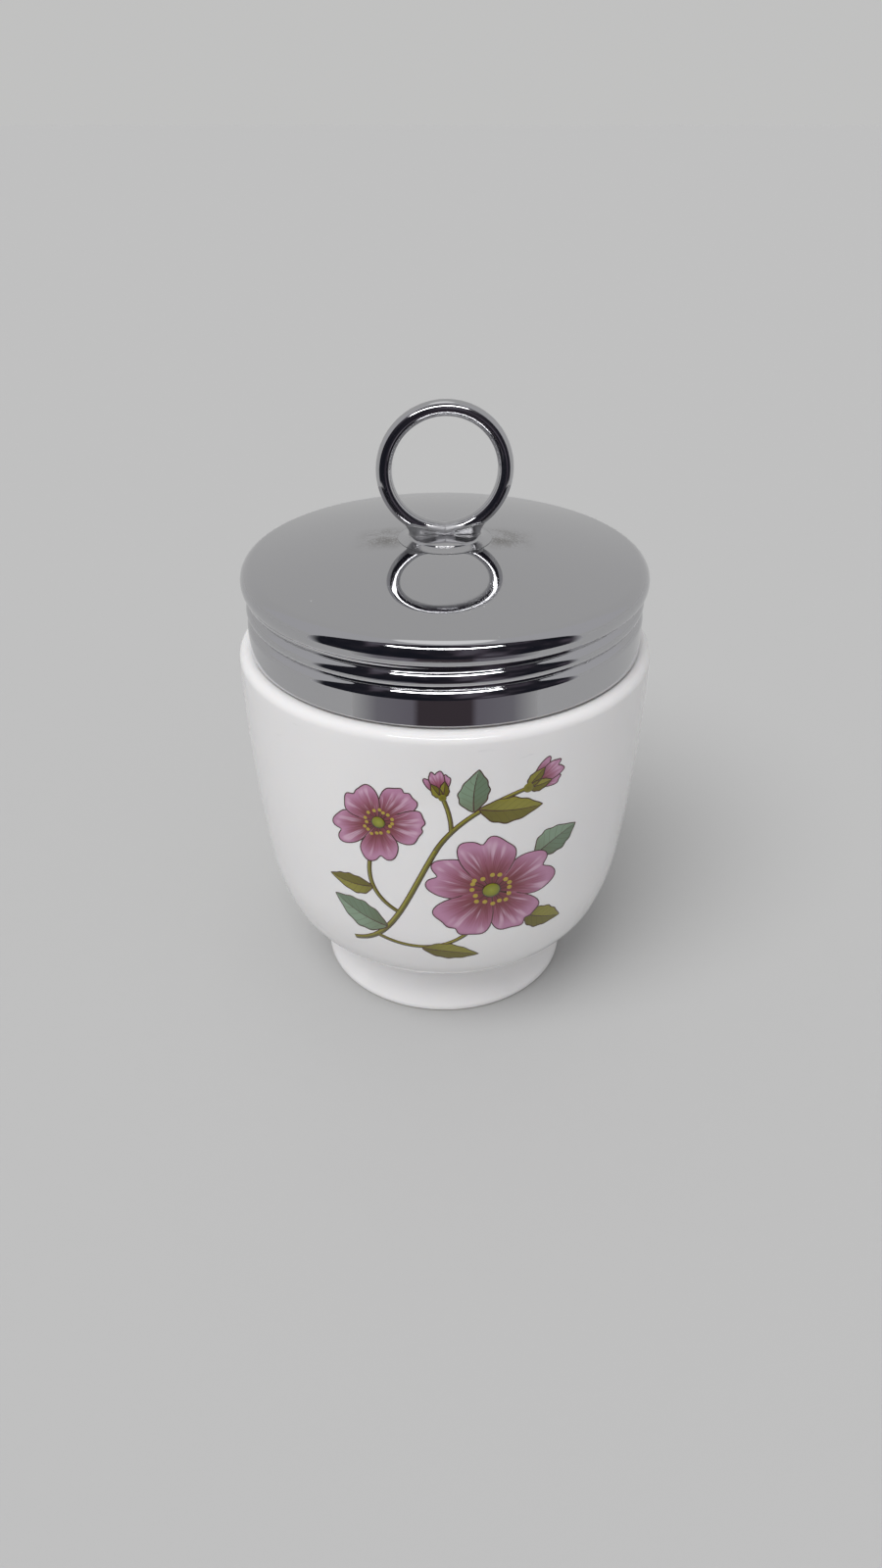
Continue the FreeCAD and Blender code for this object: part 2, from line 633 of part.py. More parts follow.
def turnAbout(item, degrees):
    item.Placement = FreeCAD.Placement(FreeCAD.Vector(0, 0, 0), FreeCAD.Rotation(UP, degrees))


cup = makeCup()
cap = makeCap()
boss = makeBoss()
ring = makeRing()
seat, saddle = makeSeat(ring)
for item in (cup, cap, boss):
    turnAbout(item, 0)
for item in (ring, saddle):
    turnAbout(item, value("Sizes.ringYaw"))
doc.recompute()

pieces = {"cup": cup, "lid_cap": cap, "ring_boss": boss, "ring_seat": seat, "ring_handle": ring}
failed = [item.Name for item in doc.Objects
          if {"Invalid", "Error"} & set(item.State)]
if failed:
    raise RuntimeError("failed features: " + ", ".join(failed))

os.makedirs("parts", exist_ok=True)
for name, piece in pieces.items():
    piece.Label = name
    shape = piece.Shape
    if shape.isNull() or not shape.isValid() or len(shape.Solids) != 1:
        raise RuntimeError(name + " isn't one valid solid")
    shape.exportStep("parts/%s.step" % name)
    box = shape.optimalBoundingBox(False)
    print("%-12s %9.1f mm3  z %.2f to %.2f" % (name, shape.Volume, box.ZMin, box.ZMax))
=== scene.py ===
import math

import bpy
import numpy as np
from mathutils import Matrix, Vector


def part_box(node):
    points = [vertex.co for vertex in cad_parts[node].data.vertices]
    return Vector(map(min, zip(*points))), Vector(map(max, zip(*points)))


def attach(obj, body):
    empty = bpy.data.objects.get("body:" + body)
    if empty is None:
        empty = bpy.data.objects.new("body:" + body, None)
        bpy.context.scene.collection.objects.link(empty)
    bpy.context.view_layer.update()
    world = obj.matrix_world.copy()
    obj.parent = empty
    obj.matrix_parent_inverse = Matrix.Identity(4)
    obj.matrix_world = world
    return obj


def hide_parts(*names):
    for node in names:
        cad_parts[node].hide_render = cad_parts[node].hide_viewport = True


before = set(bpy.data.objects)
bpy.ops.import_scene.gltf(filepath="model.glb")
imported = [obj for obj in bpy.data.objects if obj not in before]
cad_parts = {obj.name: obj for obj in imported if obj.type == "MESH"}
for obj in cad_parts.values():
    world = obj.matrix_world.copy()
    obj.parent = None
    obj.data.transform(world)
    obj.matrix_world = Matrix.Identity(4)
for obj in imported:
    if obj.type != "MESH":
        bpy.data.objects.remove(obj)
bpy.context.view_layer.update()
print("frame loaded:", ", ".join(sorted(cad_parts)))

mm = 0.001  # the dictionaries below are in millimetres and degrees
fullTurn = 2 * math.pi


# curves and meshes

def arcPoints(centre, radius, start, end, count):
    # points on a circle: centre + radius * (cos, sin), evenly from one angle to another
    angles = np.radians(np.linspace(start, end, count))
    return np.stack([centre[0] + radius * np.cos(angles),
                     centre[1] + radius * np.sin(angles)], axis=1)


def linePoints(start, end, count):
    steps = np.linspace(0, 1, count)[:, None]
    return (1 - steps) * start + steps * end


def bezier(start, first, second, end, count=60):
    # a cubic curve that leaves its start towards the first handle
    t = np.linspace(0, 1, count)[:, None]
    weights = [(1 - t) ** 3, 3 * t * (1 - t) ** 2, 3 * t ** 2 * (1 - t), t ** 3]
    return sum(weight * point for weight, point in zip(weights, (start, first, second, end)))


def bearing(start, end, near=0):
    # the angle from one point to another, in the turn that is nearest to a given angle
    angle = math.degrees(math.atan2(end[1] - start[1], end[0] - start[0]))
    return angle + 360 * round((near - angle) / 360)


def joined(*runs):
    # runs of points in a row, without the points that are given twice
    points = np.concatenate(runs)
    apart = np.linalg.norm(np.diff(points, axis=0), axis=1) > 1e-6
    return points[np.concatenate([[True], apart])]


def lengthsAlong(points):
    # how far along a run of points each of them is
    return np.concatenate([[0], np.cumsum(np.linalg.norm(np.diff(points, axis=0), axis=1))])


def smoothStep(low, high, x):
    t = np.clip((x - low) / (high - low), 0, 1)
    return t * t * (3 - 2 * t)


def meshFrom(name, points, faces, marks=None):
    # faces is a list of index arrays, each with its own number of corners; marks are
    # numbers for each point that a material reads
    mesh = bpy.data.meshes.new(name)
    mesh.from_pydata((points * mm).tolist(), [], [f for part in faces for f in part.tolist()])
    for mark, values in (marks or {}).items():
        layer = mesh.attributes.new(mark, "FLOAT", "POINT")
        layer.data.foreach_set("value", np.asarray(values, np.float32).ravel())
    mesh.polygons.foreach_set("use_smooth", np.ones(len(mesh.polygons), bool))
    mesh.update()
    piece = bpy.data.objects.new(name, mesh)
    bpy.context.scene.collection.objects.link(piece)
    return piece


def gridFaces(rows, columns, wrapRows=False, wrapColumns=True):
    # the four corners of each cell of a grid of points
    i = np.arange(rows if wrapRows else rows - 1)
    j = np.arange(columns if wrapColumns else columns - 1)
    i, j = np.meshgrid(i, j, indexing="ij")
    nextI, nextJ = (i + 1) % rows, (j + 1) % columns
    corners = [i * columns + j, nextI * columns + j,
               nextI * columns + nextJ, i * columns + nextJ]
    return np.stack([c.ravel() for c in corners], axis=1)


def closedSkin(name, grid, marks=None):
    # a stack of rings of points, closed by a fan of triangles at both ends
    rows, columns = grid.shape[:2]
    poles = [grid[0].mean(axis=0), grid[-1].mean(axis=0)]
    points = np.concatenate([grid.reshape(-1, 3), poles])
    count = rows * columns
    ring = np.arange(columns)
    following = (ring + 1) % columns
    last = count - columns
    first = np.stack([np.full(columns, count), ring, following], axis=1)
    final = np.stack([np.full(columns, count + 1), last + following, last + ring], axis=1)
    marks = {key: np.concatenate([np.broadcast_to(value, (rows, columns)).ravel(),
                                  [value[0, 0], value[-1, 0]]])
             for key, value in (marks or {}).items()}
    return meshFrom(name, points, [gridFaces(rows, columns), first, final], marks=marks)


def aroundAxis(radii, angles, heights):
    # at an angle from the front, -Y, towards +X, a point is at
    # (radius * sin, -radius * cos, height)
    return np.stack(np.broadcast_arrays(radii * np.sin(angles), -radii * np.cos(angles),
                                        heights), axis=-1)


def turned(name, radii, heights, angles, marks=None):
    # a surface of revolution, whose two ends lie on the axis
    grid = aroundAxis(radii, angles, heights)
    return closedSkin(name, grid[1:-1], {key: value[1:-1] for key, value in (marks or {}).items()})


def turnAngles(columns):
    # angles round the axis from the front, -Y, towards +X
    return np.linspace(0, fullTurn, columns, endpoint=False)[None, :]


# screw threads: both start at the back, +Y, and rise by the pitch in each turn

rowReturn = 0.05  # share of a turn, to each side of the back


def threadShift(angles):
    # how many pitches a row of points is moved up, so that it runs along the thread: evenly
    # from -1/2 to 1/2 round the axis, and back to 0 close to the back itself
    share = ((angles + math.pi) % fullTurn) / fullTurn
    return (share - 0.5) * smoothStep(0, rowReturn, np.minimum(share, 1 - share))


def threadForm(heights, angles, start, pitch, turns, fade, form):
    # the sum over all turns of form(how far a point is from the thread's middle), faded out
    # over an angle at both ends of the thread
    fromBack = (angles + math.pi) % fullTurn
    total = 0
    for turn in range(turns):
        wound = fromBack + turn * fullTurn
        ends = smoothStep(0, fade, wound) * smoothStep(0, fade, turns * fullTurn - wound)
        total = total + ends * form(np.abs(heights - start - pitch * wound / fullTurn))
    return total


# the cup

cupSizes = {
    "recessTop": 8.9, "recessHigh": 15.6, "recessLow": 18.3, "recessCorner": 1.6,
    "recessEdge": 0.5, "footRadius": 21.9, "footRound": 0.7, "footEdge": (21.86, 0.95),
    "toeTaper": 1.1, "toeHeight": 2.4, "footNeck": 18.9, "footFillet": 1.2,
    "bowlRadius": 33.28, "widestHeight": 61.4, "bellyHeight": 26.1, "bowlBottom": 9.7,
    "sideArc": 300.0, "bellyArc": 38.7, "cornerArc": 11.4, "wall": 3.6,
    "shoulderHeight": 63.0, "shoulderArc": 1.5, "neckRadius": 29.75, "neckRound": 0.6,
    "neckWall": 2.85, "throatRise": 0.4, "throatArc": 5.0, "underArc": 8.0,
    "threadRise": 3.4, "pitch": 2.7, "turns": 2, "ridgeHeight": 0.95, "ridgeWidth": 1.95,
    "crest": 0.35, "threadFade": 25, "threadEase": 2.2, "neckRows": 72, "columns": 288,
}


def bowlArcs(s):
    # the bowl's side is three arcs that touch: corner, belly and side
    side = (s["bowlRadius"] - s["sideArc"], s["widestHeight"])
    sideAngle = -math.degrees(math.asin((s["widestHeight"] - s["bellyHeight"]) / s["sideArc"]))
    belly = arcPoints(side, s["sideArc"] - s["bellyArc"], sideAngle, sideAngle, 1)[0]
    reach = s["bellyArc"] - s["cornerArc"]
    drop = belly[1] - s["bowlBottom"] - s["cornerArc"]
    bellyAngle = -math.degrees(math.asin(drop / reach))
    corner = arcPoints(belly, reach, bellyAngle, bellyAngle, 1)[0]
    return {"side": side, "belly": belly, "corner": corner, "sideAngle": sideAngle,
            "bellyAngle": bellyAngle}


def bowlSide(s, inset, cornerStart, sideEnd, finer=1):
    a = bowlArcs(s)
    return joined(
        arcPoints(a["corner"], s["cornerArc"] - inset, cornerStart, a["bellyAngle"], 16 * finer),
        arcPoints(a["belly"], s["bellyArc"] - inset, a["bellyAngle"], a["sideAngle"], 16 * finer),
        arcPoints(a["side"], s["sideArc"] - inset, a["sideAngle"], sideEnd, 36 * finer))


def cupOutside(s, finer=1):
    # from the foot's narrow neck, round the bowl and over the shoulder to the neck
    a = bowlArcs(s)
    fillet = s["footFillet"]
    across = s["footNeck"] + fillet - a["corner"][0]
    rise = math.sqrt((s["cornerArc"] + fillet) ** 2 - across ** 2)
    filletMiddle = (s["footNeck"] + fillet, a["corner"][1] - rise)
    join = bearing(filletMiddle, a["corner"])
    drop = s["shoulderHeight"] - s["shoulderArc"] - a["side"][1]
    reach = math.sqrt((s["sideArc"] - s["shoulderArc"]) ** 2 - drop ** 2)
    shoulder = (a["side"][0] + reach, s["shoulderHeight"] - s["shoulderArc"])
    sideEnd = bearing(a["side"], shoulder)
    small = s["neckRound"]
    low = s["shoulderHeight"] + small
    return filletMiddle, joined(
        arcPoints(filletMiddle, fillet, 180, join, 6),
        bowlSide(s, 0, join - 180, sideEnd, finer),
        arcPoints(shoulder, s["shoulderArc"], sideEnd, 90, 12),
        linePoints((shoulder[0], s["shoulderHeight"]), (s["neckRadius"] + small,
                                                        s["shoulderHeight"]), 5),
        arcPoints((s["neckRadius"] + small, low), small, 270, 180, 5))


def cupFoot(s, filletMiddle):
    # from the axis under the cup, out over the resting ring and up the cove
    foot, small, corner = s["footRadius"], s["footRound"], s["recessCorner"]
    toe = (foot - s["toeTaper"], s["toeHeight"])
    coveWidth = toe[0] - s["footNeck"]
    coveHeight = filletMiddle[1] - toe[1]
    cove = (coveWidth ** 2 + coveHeight ** 2) / (2 * coveWidth)
    coveMiddle = (s["footNeck"] + cove, filletMiddle[1])
    low, edge = s["recessLow"], s["recessEdge"]
    return joined(
        linePoints((0, s["recessTop"]), (s["recessHigh"] - corner, s["recessTop"]), 6),
        arcPoints((s["recessHigh"] - corner, s["recessTop"] - corner), corner, 90, 0, 6),
        linePoints((s["recessHigh"], s["recessTop"] - corner), (low, edge), 6),
        arcPoints((low + edge, edge), edge, 180, 270, 4),
        arcPoints((foot - small, small), small, 270, 380, 7),
        linePoints(s["footEdge"], toe, 4),
        arcPoints(coveMiddle, cove, bearing(coveMiddle, toe, near=180), 180, 14))


def cupInside(s):
    # from the rim down the mouth, under the shoulder and down to the middle of the floor
    a = bowlArcs(s)
    mouth = s["neckRadius"] - s["neckWall"]
    throat = (mouth + s["throatArc"], s["shoulderHeight"] + s["throatRise"])
    reach = s["sideArc"] - s["wall"] - s["underArc"]
    span = math.dist(throat, a["side"])
    near = s["throatArc"] + s["underArc"]
    cosine = (reach ** 2 + span ** 2 - near ** 2) / (2 * reach * span)
    angle = bearing(a["side"], throat) - math.degrees(math.acos(cosine))
    under = arcPoints(a["side"], reach, angle, angle, 1)[0]
    turn = bearing(under, throat)
    floor = s["bowlBottom"] + s["wall"]
    return joined(
        arcPoints(throat, s["throatArc"], 180, turn + 180, 10),
        arcPoints(under, s["underArc"], turn, angle, 14),
        bowlSide(s, s["wall"], -90, angle)[::-1],
        linePoints((a["corner"][0], floor), (0, floor), 8))


def makeCup(s):
    filletMiddle, outside = cupOutside(s)
    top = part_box("cup")[1].z / mm
    rimRound = s["neckWall"] / 2
    rimMiddle = (s["neckRadius"] - rimRound, top - rimRound)
    neckFoot = s["shoulderHeight"] + s["neckRound"]
    profile = joined(
        cupFoot(s, filletMiddle), outside,
        linePoints((s["neckRadius"], neckFoot), (s["neckRadius"], rimMiddle[1]), s["neckRows"]),
        arcPoints(rimMiddle, rimRound, 0, 180, 16),
        cupInside(s))
    radii, heights = profile[:, :1], profile[:, 1:]
    angles = turnAngles(s["columns"])
    onNeck = (np.abs(radii - s["neckRadius"]) < 1e-6) & (heights > neckFoot)
    free = smoothStep(neckFoot, neckFoot + s["threadEase"], heights) * smoothStep(
        rimMiddle[1], rimMiddle[1] - s["threadEase"], heights)
    heights = heights + onNeck * free * s["pitch"] * threadShift(angles)
    half = s["ridgeWidth"] / 2
    ridge = threadForm(
        heights, angles, s["shoulderHeight"] + s["threadRise"], s["pitch"], s["turns"],
        math.radians(s["threadFade"]), lambda away: 1 - smoothStep(s["crest"], 1, away / half))
    return turned("cupPorcelain", radii + onNeck * ridge * s["ridgeHeight"], heights, angles)


# the lid

lidSizes = {
    "outside": 31.5, "sheet": 0.6, "skirtEdge": 63.3, "plainTop": 66.2, "edgeArc": 2.4,
    "edgeBulge": 0.54, "edgeFillet": 0.8, "domeArc": 148.0, "domeCentre": -68.303,
    "bossRadius": 7.3, "grooveStart": 67.75, "pitch": 2.7, "turns": 2, "grooveDepth": 0.7,
    "grooveSoft": 0.07, "grooveFrom": 2, "grooveFull": 1.5, "grooveFade": 0.5,  # radians
    "easeUp": (63.6, 66.6), "easeDown": 3.4, "columns": 336, "finer": 8,
    "valleyRows": (-0.12, -0.06, -0.025, 0, 0.025, 0.06, 0.12),
}


def lidProfile(s):
    # once over the outside, from the middle to the skirt's edge, and back along the inside
    finer, outside, thick, plain = s["finer"], s["outside"], s["sheet"], s["plainTop"]
    dome = (0, s["domeCentre"])
    across = outside + s["edgeBulge"] - s["edgeArc"]
    edge = (across, dome[1] + math.sqrt((s["domeArc"] - s["edgeArc"]) ** 2 - across ** 2))
    fillet = s["edgeFillet"]
    dip = math.sqrt((s["edgeArc"] + fillet) ** 2 - (outside + fillet - across) ** 2)
    filletMiddle = (outside + fillet, edge[1] - dip)
    top = bearing(dome, edge)
    turn = bearing(edge, filletMiddle)
    flat = math.degrees(math.acos(s["bossRadius"] / s["domeArc"]))
    flatHeight = dome[1] + s["domeArc"] * math.sin(math.radians(flat))
    inside = outside - thick
    lipMiddle = ((outside + inside) / 2, s["skirtEdge"] + thick / 2)
    outer = joined(
        linePoints((0, flatHeight), (s["bossRadius"], flatHeight), 4 * finer),
        arcPoints(dome, s["domeArc"], flat, top, 24 * finer),
        arcPoints(edge, s["edgeArc"], top, turn, 36 * finer),
        arcPoints(filletMiddle, fillet, turn + 180, 180, 10 * finer),
        linePoints((outside, filletMiddle[1]), (outside, plain), 62 * finer),
        linePoints((outside, plain), (outside, lipMiddle[1]), 8 * finer))
    inner = joined(
        arcPoints(lipMiddle, thick / 2, 0, -180, 8 * finer),
        linePoints((inside, lipMiddle[1]), (inside, plain), 6 * finer),
        linePoints((inside, plain), (inside, filletMiddle[1]), 40 * finer),
        arcPoints(filletMiddle, fillet + thick, 180, turn + 180, 8 * finer),
        arcPoints(edge, s["edgeArc"] - thick, turn, top, 18 * finer),
        arcPoints(dome, s["domeArc"] - thick, top, flat, 14 * finer),
        linePoints((s["bossRadius"], flatHeight - thick), (0, flatHeight - thick), 4 * finer))
    return outer, inner, across, edge[1] + s["edgeArc"]


def makeLid(s):
    outer, inner, across, top = lidProfile(s)
    profile = joined(outer, inner)
    reached = lengthsAlong(profile)
    rows = reached[np.append(np.arange(0, len(reached) - s["finer"] // 2, s["finer"]), -1)]
    # a few more rows lie in the groove's valleys, at their height at the front
    wallHeights = np.array([s["grooveStart"] + s["pitch"] * (turn + 0.5) + offset
                            for turn in range(s["turns"])
                            for offset in s["valleyRows"]])
    onOuter = profile[:len(outer)]
    valley = np.interp(-wallHeights, -onOuter[:, 1], reached[:len(outer)])
    rows = np.unique(np.concatenate([rows, valley]))[:, None]
    heights = np.interp(rows, reached, profile[:, 1])
    isInner = (rows > reached[len(outer) - 1]) * 1.0
    angles = turnAngles(s["columns"])
    free = smoothStep(*s["easeUp"], heights) * smoothStep(top, top - s["easeDown"], heights)
    rows = rows + (2 * isInner - 1) * free * s["pitch"] * threadShift(angles)
    radii = np.interp(rows, reached, profile[:, 0])
    heights = np.interp(rows, reached, profile[:, 1])

    def groove(away):
        # 1 in the valley, with a soft bottom, and 0 half a pitch away
        share = away / (s["pitch"] / 2)
        return np.clip(1 + s["grooveSoft"] - np.sqrt(share ** 2 + s["grooveSoft"] ** 2), 0, 1) ** 2

    wall = smoothStep(across - s["grooveFrom"], across + s["grooveFull"], radii)
    depth = s["grooveDepth"] * wall * threadForm(
        heights, angles, s["grooveStart"], s["pitch"], s["turns"], s["grooveFade"], groove)
    isInner = np.broadcast_to(isInner, radii.shape)
    return turned("lidShell", radii - depth, heights, angles, marks={"inside": isInner})


bossSizes = {"lip": 0.03, "slope": 1.7, "round": 0.3, "edge": 0.05, "columns": 160}


def makeBoss(s):
    low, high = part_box("ring_boss")
    outer, foot, top = high.x / mm, low.z / mm, high.z / mm
    small = s["round"]
    inner = outer - s["slope"]
    rise = top - small - foot - s["lip"]
    cove = (s["slope"] ** 2 + rise ** 2) / (2 * rise)
    coveMiddle = (outer, foot + s["lip"] + cove)
    upper = bearing(coveMiddle, (inner, top - small), near=270)
    profile = joined(
        linePoints((0, foot), (outer - s["edge"], foot), 4),
        linePoints((outer, foot + s["edge"]), (outer, foot + s["lip"]), 2),
        arcPoints(coveMiddle, cove, 270, upper, 14),
        arcPoints((inner - small, top - small), small, 0, 90, 8),
        linePoints((inner - small, top), (0, top), 5))
    return turned("ringBoss", profile[:, :1], profile[:, 1:], turnAngles(s["columns"]))


# the ring and its saddle

ringSizes = {"radius": 9.21, "wire": 1.21, "point": 12.0, "yaw": 4.1, "seam": 0.09,
             "seamDepth": 0.15, "seamSide": (-0.1, 0.6), "around": 260, "across": 48,
             "closer": 1.5}


def turnedBy(grid, degrees):
    # the same points, turned about the axis
    turn = math.radians(degrees)
    x, y = grid[..., 0], grid[..., 1]
    return np.stack([x * math.cos(turn) - y * math.sin(turn),
                     x * math.sin(turn) + y * math.cos(turn), grid[..., 2]], axis=-1)


def makeRing(s):
    # a tube along a circle. Near its bottom the circle becomes two straight ends, which meet
    # in a narrow seam, and the underside is ground flat. Rows lie closer near the seam.
    low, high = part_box("ring_handle")
    centre = high.z / mm - s["radius"] - s["wire"]
    around, across = s["around"], s["across"]
    share = (np.arange(around) - around // 2) / (around // 2)
    phi = math.pi * np.sign(share) * np.abs(share) ** s["closer"]
    point = math.radians(s["point"])
    reach = np.where(np.abs(phi) < point, s["radius"] / np.cos(point - np.abs(phi)), s["radius"])
    path = np.stack([reach * np.sin(phi), 0 * phi, centre - reach * np.cos(phi)], axis=1)
    turn = np.linspace(0, fullTurn, across, endpoint=False)
    # the seam shows only on the side of the wire that faces the ring's middle
    seam = (np.exp(-(path[:, 0] / s["seam"]) ** 2) * (np.abs(phi) < 1))[:, None]
    wire = s["wire"] * (1 - s["seamDepth"] * seam * smoothStep(*s["seamSide"], np.cos(turn)))
    along = np.roll(path, -1, axis=0) - np.roll(path, 1, axis=0)
    along /= np.linalg.norm(along, axis=1, keepdims=True)
    inward = np.cross(along, [0, 1, 0])
    outward = np.cos(turn)[:, None] * inward[:, None] + np.sin(turn)[:, None] * [0, 1.0, 0]
    tube = path[:, None] + wire[..., None] * outward
    tube[..., 2] = np.maximum(tube[..., 2], low.z / mm)
    faces = gridFaces(around, across, wrapRows=True)
    return meshFrom("ringHandle", turnedBy(tube, s["yaw"]).reshape(-1, 3), [faces])


seatSizes = {
    "halfLength": 5.5, "halfWidth": 1.9, "waist": 1.0, "height": 1.8, "lowest": 0.75,
    "flare": 0.8, "spread": 0.2, "squareness": 3.2, "widens": (0.8, 4.4), "rises": (0.6, 5.0),
    "columns": 160,
}


def makeSeat(s, yaw):
    # a stack of rounded oblongs, waisted where the wire is lowest. Each row below is the
    # share of the height and how far that row is set in; the last ones lie in the wire.
    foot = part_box("ring_boss")[1].z / mm
    rows = np.array([(0, -0.10), (0.04, -0.03), (0.12, 0.03), (0.3, 0.05), (0.5, 0.05),
                     (0.7, 0.03), (0.84, 0.0), (0.93, 0.01), (0.98, 0.06), (1.0, 0.14),
                     (1.01, 0.3), (1.02, 0.5), (1.04, 0.9)])
    share, inset = rows[:, :1], rows[:, 1:]
    turn = turnAngles(s["columns"])
    cosine, sine = [np.sign(way) * np.abs(way) ** (2 / s["squareness"])
                    for way in (np.cos(turn), np.sin(turn))]
    x = (s["halfLength"] + s["flare"] * share ** 1.4 - inset) * cosine
    width = s["waist"] + (s["halfWidth"] - s["waist"]) * smoothStep(*s["widens"], np.abs(x))
    y = (width + s["spread"] * share - 0.8 * inset) * sine
    rise = s["lowest"] + (s["height"] - s["lowest"]) * smoothStep(*s["rises"], np.abs(x))
    grid = np.stack([x, y, foot + np.minimum(share * rise, s["height"])], axis=-1)
    return closedSkin("ringSeat", turnedBy(grid, yaw))


cup = makeCup(cupSizes)
lid = makeLid(lidSizes)
boss = makeBoss(bossSizes)
seat = makeSeat(seatSizes, ringSizes["yaw"])
ring = makeRing(ringSizes)
for piece, node, body, slot in (
        (cup, "cup", "cup", "porcelain"), (lid, "lid_cap", "lid", "plated_metal"),
        (boss, "ring_boss", "lid_lift", "plated_metal"),
        (seat, "ring_seat", "lid", "plated_metal"),
        (ring, "ring_handle", "lid", "plated_metal")):
    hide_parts(node)
    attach(piece, body)
print("pieces made: cup, lid, boss, saddle and ring")


# the print: a spray of flowers, drawn flat in millimetres and then laid on the bowl

sprayDesign = {
    "middle": 39.8,  # height of the design's middle on the bowl
    "lift": 0.008, "layer": 0.002, "sunk": 0.012, "line": 0.17, "seed": 5, "stem": 0.85,
    "blossoms": [  # "lean" is the direction in which a blossom is made narrower
        {"at": (7.2, -5.2), "size": 11.2, "turn": 16, "squash": 0.88, "lean": 50, "layer": 8},
        {"at": (-10.0, 7.6), "size": 8.2, "turn": 58, "squash": 0.8, "lean": -42, "layer": 8},
    ],
    "buds": [
        {"at": (12.4, 13.3), "heading": 28, "size": 6.2, "squash": 1, "lean": 0, "layer": 5},
        {"at": (-0.4, 13.0), "heading": 104, "size": 4.6, "squash": 1, "lean": 0, "layer": 2},
    ],
    "stems": [  # the widths at both ends, then start, two handles and end
        ((1, 0.85), (-15.2, -18.4), (-8.2, -16.6), (-6.0, -6.5), (-1.4, 3.2)),
        ((0.85, 0.65), (-1.4, 3.2), (0.8, 7.8), (5.6, 11.8), (12.4, 13.3)),
        ((0.7, 0.65), (-7.3, -9.9), (-11.8, -7.2), (-13.0, -2.6), (-10.6, 4.0)),
        ((0.7, 0.65), (-11.0, -15.9), (-5.4, -18.6), (2.4, -18.6), (6.4, -10.0)),
        ((0.65, 0.6), (0.9, 6.8), (0.9, 9.0), (0.4, 11.0), (-0.4, 13.0)),
    ],
    "leaves": [  # root, heading, length and half width, bend, and tone: 0 olive, 1 sage
        ((-9.2, -13.6), 168, (9.8, 2.9), -2.2, 1.0),
        ((-11.4, -5.4), 196, (7.2, 1.9), -2.2, 0.0),
        ((-3.6, -17.9), -6, (9.2, 1.9), -0.9, 0.1),
        ((5.0, 10.7), -14, (9.8, 2.3), 1.5, 0.05),
        ((4.2, 10.3), 96, (7.2, 2.3), -1.4, 0.95),
        ((13.0, -12.0), -34, (7.6, 2.3), 1.2, 0.05),
        ((14.2, 0.2), 36, (8.0, 2.8), -1.4, 0.9),
    ],
}
inks = ["petal", "leaf", "line", "heart"]
inkMarks = ("along", "across", "tone")  # numbers that an ink reads


def addSheet(sheets, flat, ink, layer, along=0.0, across=0.0, tone=0.0):
    # one printed shape: a grid of flat points, and its marks
    over = np.diff(flat, axis=0)[:, :-1]
    right = np.diff(flat, axis=1)[:-1]
    area = np.sum(over[..., 0] * right[..., 1] - over[..., 1] * right[..., 0])
    marks = {mark: np.broadcast_to(value, flat.shape[:2])
             for mark, value in zip(inkMarks, (along, across, tone))}
    if area < 0:
        flat = flat[:, ::-1]
        marks = {key: value[:, ::-1] for key, value in marks.items()}
    sheets.append({"flat": flat, "ink": inks.index(ink), "layer": layer, "marks": marks})


def addRibbon(sheets, path, width, ink, layer, tone=0.0):
    # a line of the given width along a path
    along = np.gradient(path, axis=0)
    along /= np.linalg.norm(along, axis=1, keepdims=True) + 1e-9
    side = np.stack([-along[:, 1], along[:, 0]], axis=1)
    half = np.broadcast_to(width, len(path))[:, None] / 2
    flat = np.stack([path - half * side, path, path + half * side], axis=1)
    share = np.linspace(0, 1, len(path))[:, None]
    addSheet(sheets, flat, ink, layer, along=share, across=np.array([[-1, 0, 1]]), tone=tone)


def addDot(sheets, at, radius, ink, layer, tone=0.0):
    # a disc: a square grid pressed round, x * sqrt(1 - y^2 / 2) and the same for y
    x, y = np.meshgrid(np.linspace(-1, 1, 7), np.linspace(-1, 1, 7))
    flat = np.stack([x * np.sqrt(1 - y * y / 2), y * np.sqrt(1 - x * x / 2)], axis=-1)
    away = np.linalg.norm(flat, axis=-1)
    addSheet(sheets, at + radius * flat, ink, layer, along=away, tone=tone)


def squashed(points, design):
    # points about a flower's middle, made narrower in one direction as if seen aslant
    lean = math.radians(design["lean"])
    axis = np.array([math.cos(lean), math.sin(lean)])
    away = (points @ axis)[..., None] * axis
    return design["at"] + points - (1 - design["squash"]) * away


def petalFlat(heading, reach, spread, ripple):
    # a fan about its root: towards v it reaches (1 - |v|^3.4)^0.45, with a notched and
    # rippled tip, and it is narrower near the root
    u = np.linspace(0.04, 1, 26)[:, None]
    v = np.linspace(-1, 1, 37)[None, :]
    angle = math.radians(heading) + v * spread * (0.65 + 0.35 * u ** 0.8)
    tip = np.maximum(1 - np.abs(v) ** 3.4, 0.004) ** 0.45
    tip = tip * (1 + 0.035 * np.cos(9 * v + ripple) - 0.10 * np.exp(-((v - 0.06) / 0.11) ** 2))
    radius = reach * u * tip
    flat = np.stack([radius * np.cos(angle), radius * np.sin(angle)], axis=-1)
    return flat, u * tip ** 0.5, v


def addPetal(sheets, design, heading, reach, spread, layer, tone):
    flat, along, across = petalFlat(heading, reach, spread, 6 * tone)
    flat = squashed(flat, design)
    addSheet(sheets, flat, "petal", layer, along=along, across=across, tone=tone)
    outline = np.concatenate([flat[:, 0], flat[-1, 1:-1], flat[::-1, -1]])
    addRibbon(sheets, outline, sprayDesign["line"], "line", layer + 1)


blossomForm = {  # shares of the blossom's size, but line is in millimetres
    "order": (0, 2, 4, 1, 3), "sway": 5, "reach": (0.94, 1.04), "spread": 42, "under": 0.24,
    "stamens": 16, "stray": 0.25, "from": 0.1, "to": (0.24, 0.33), "line": 0.11,
    "anther": 0.036, "rim": 0.135, "heart": 0.12,
}


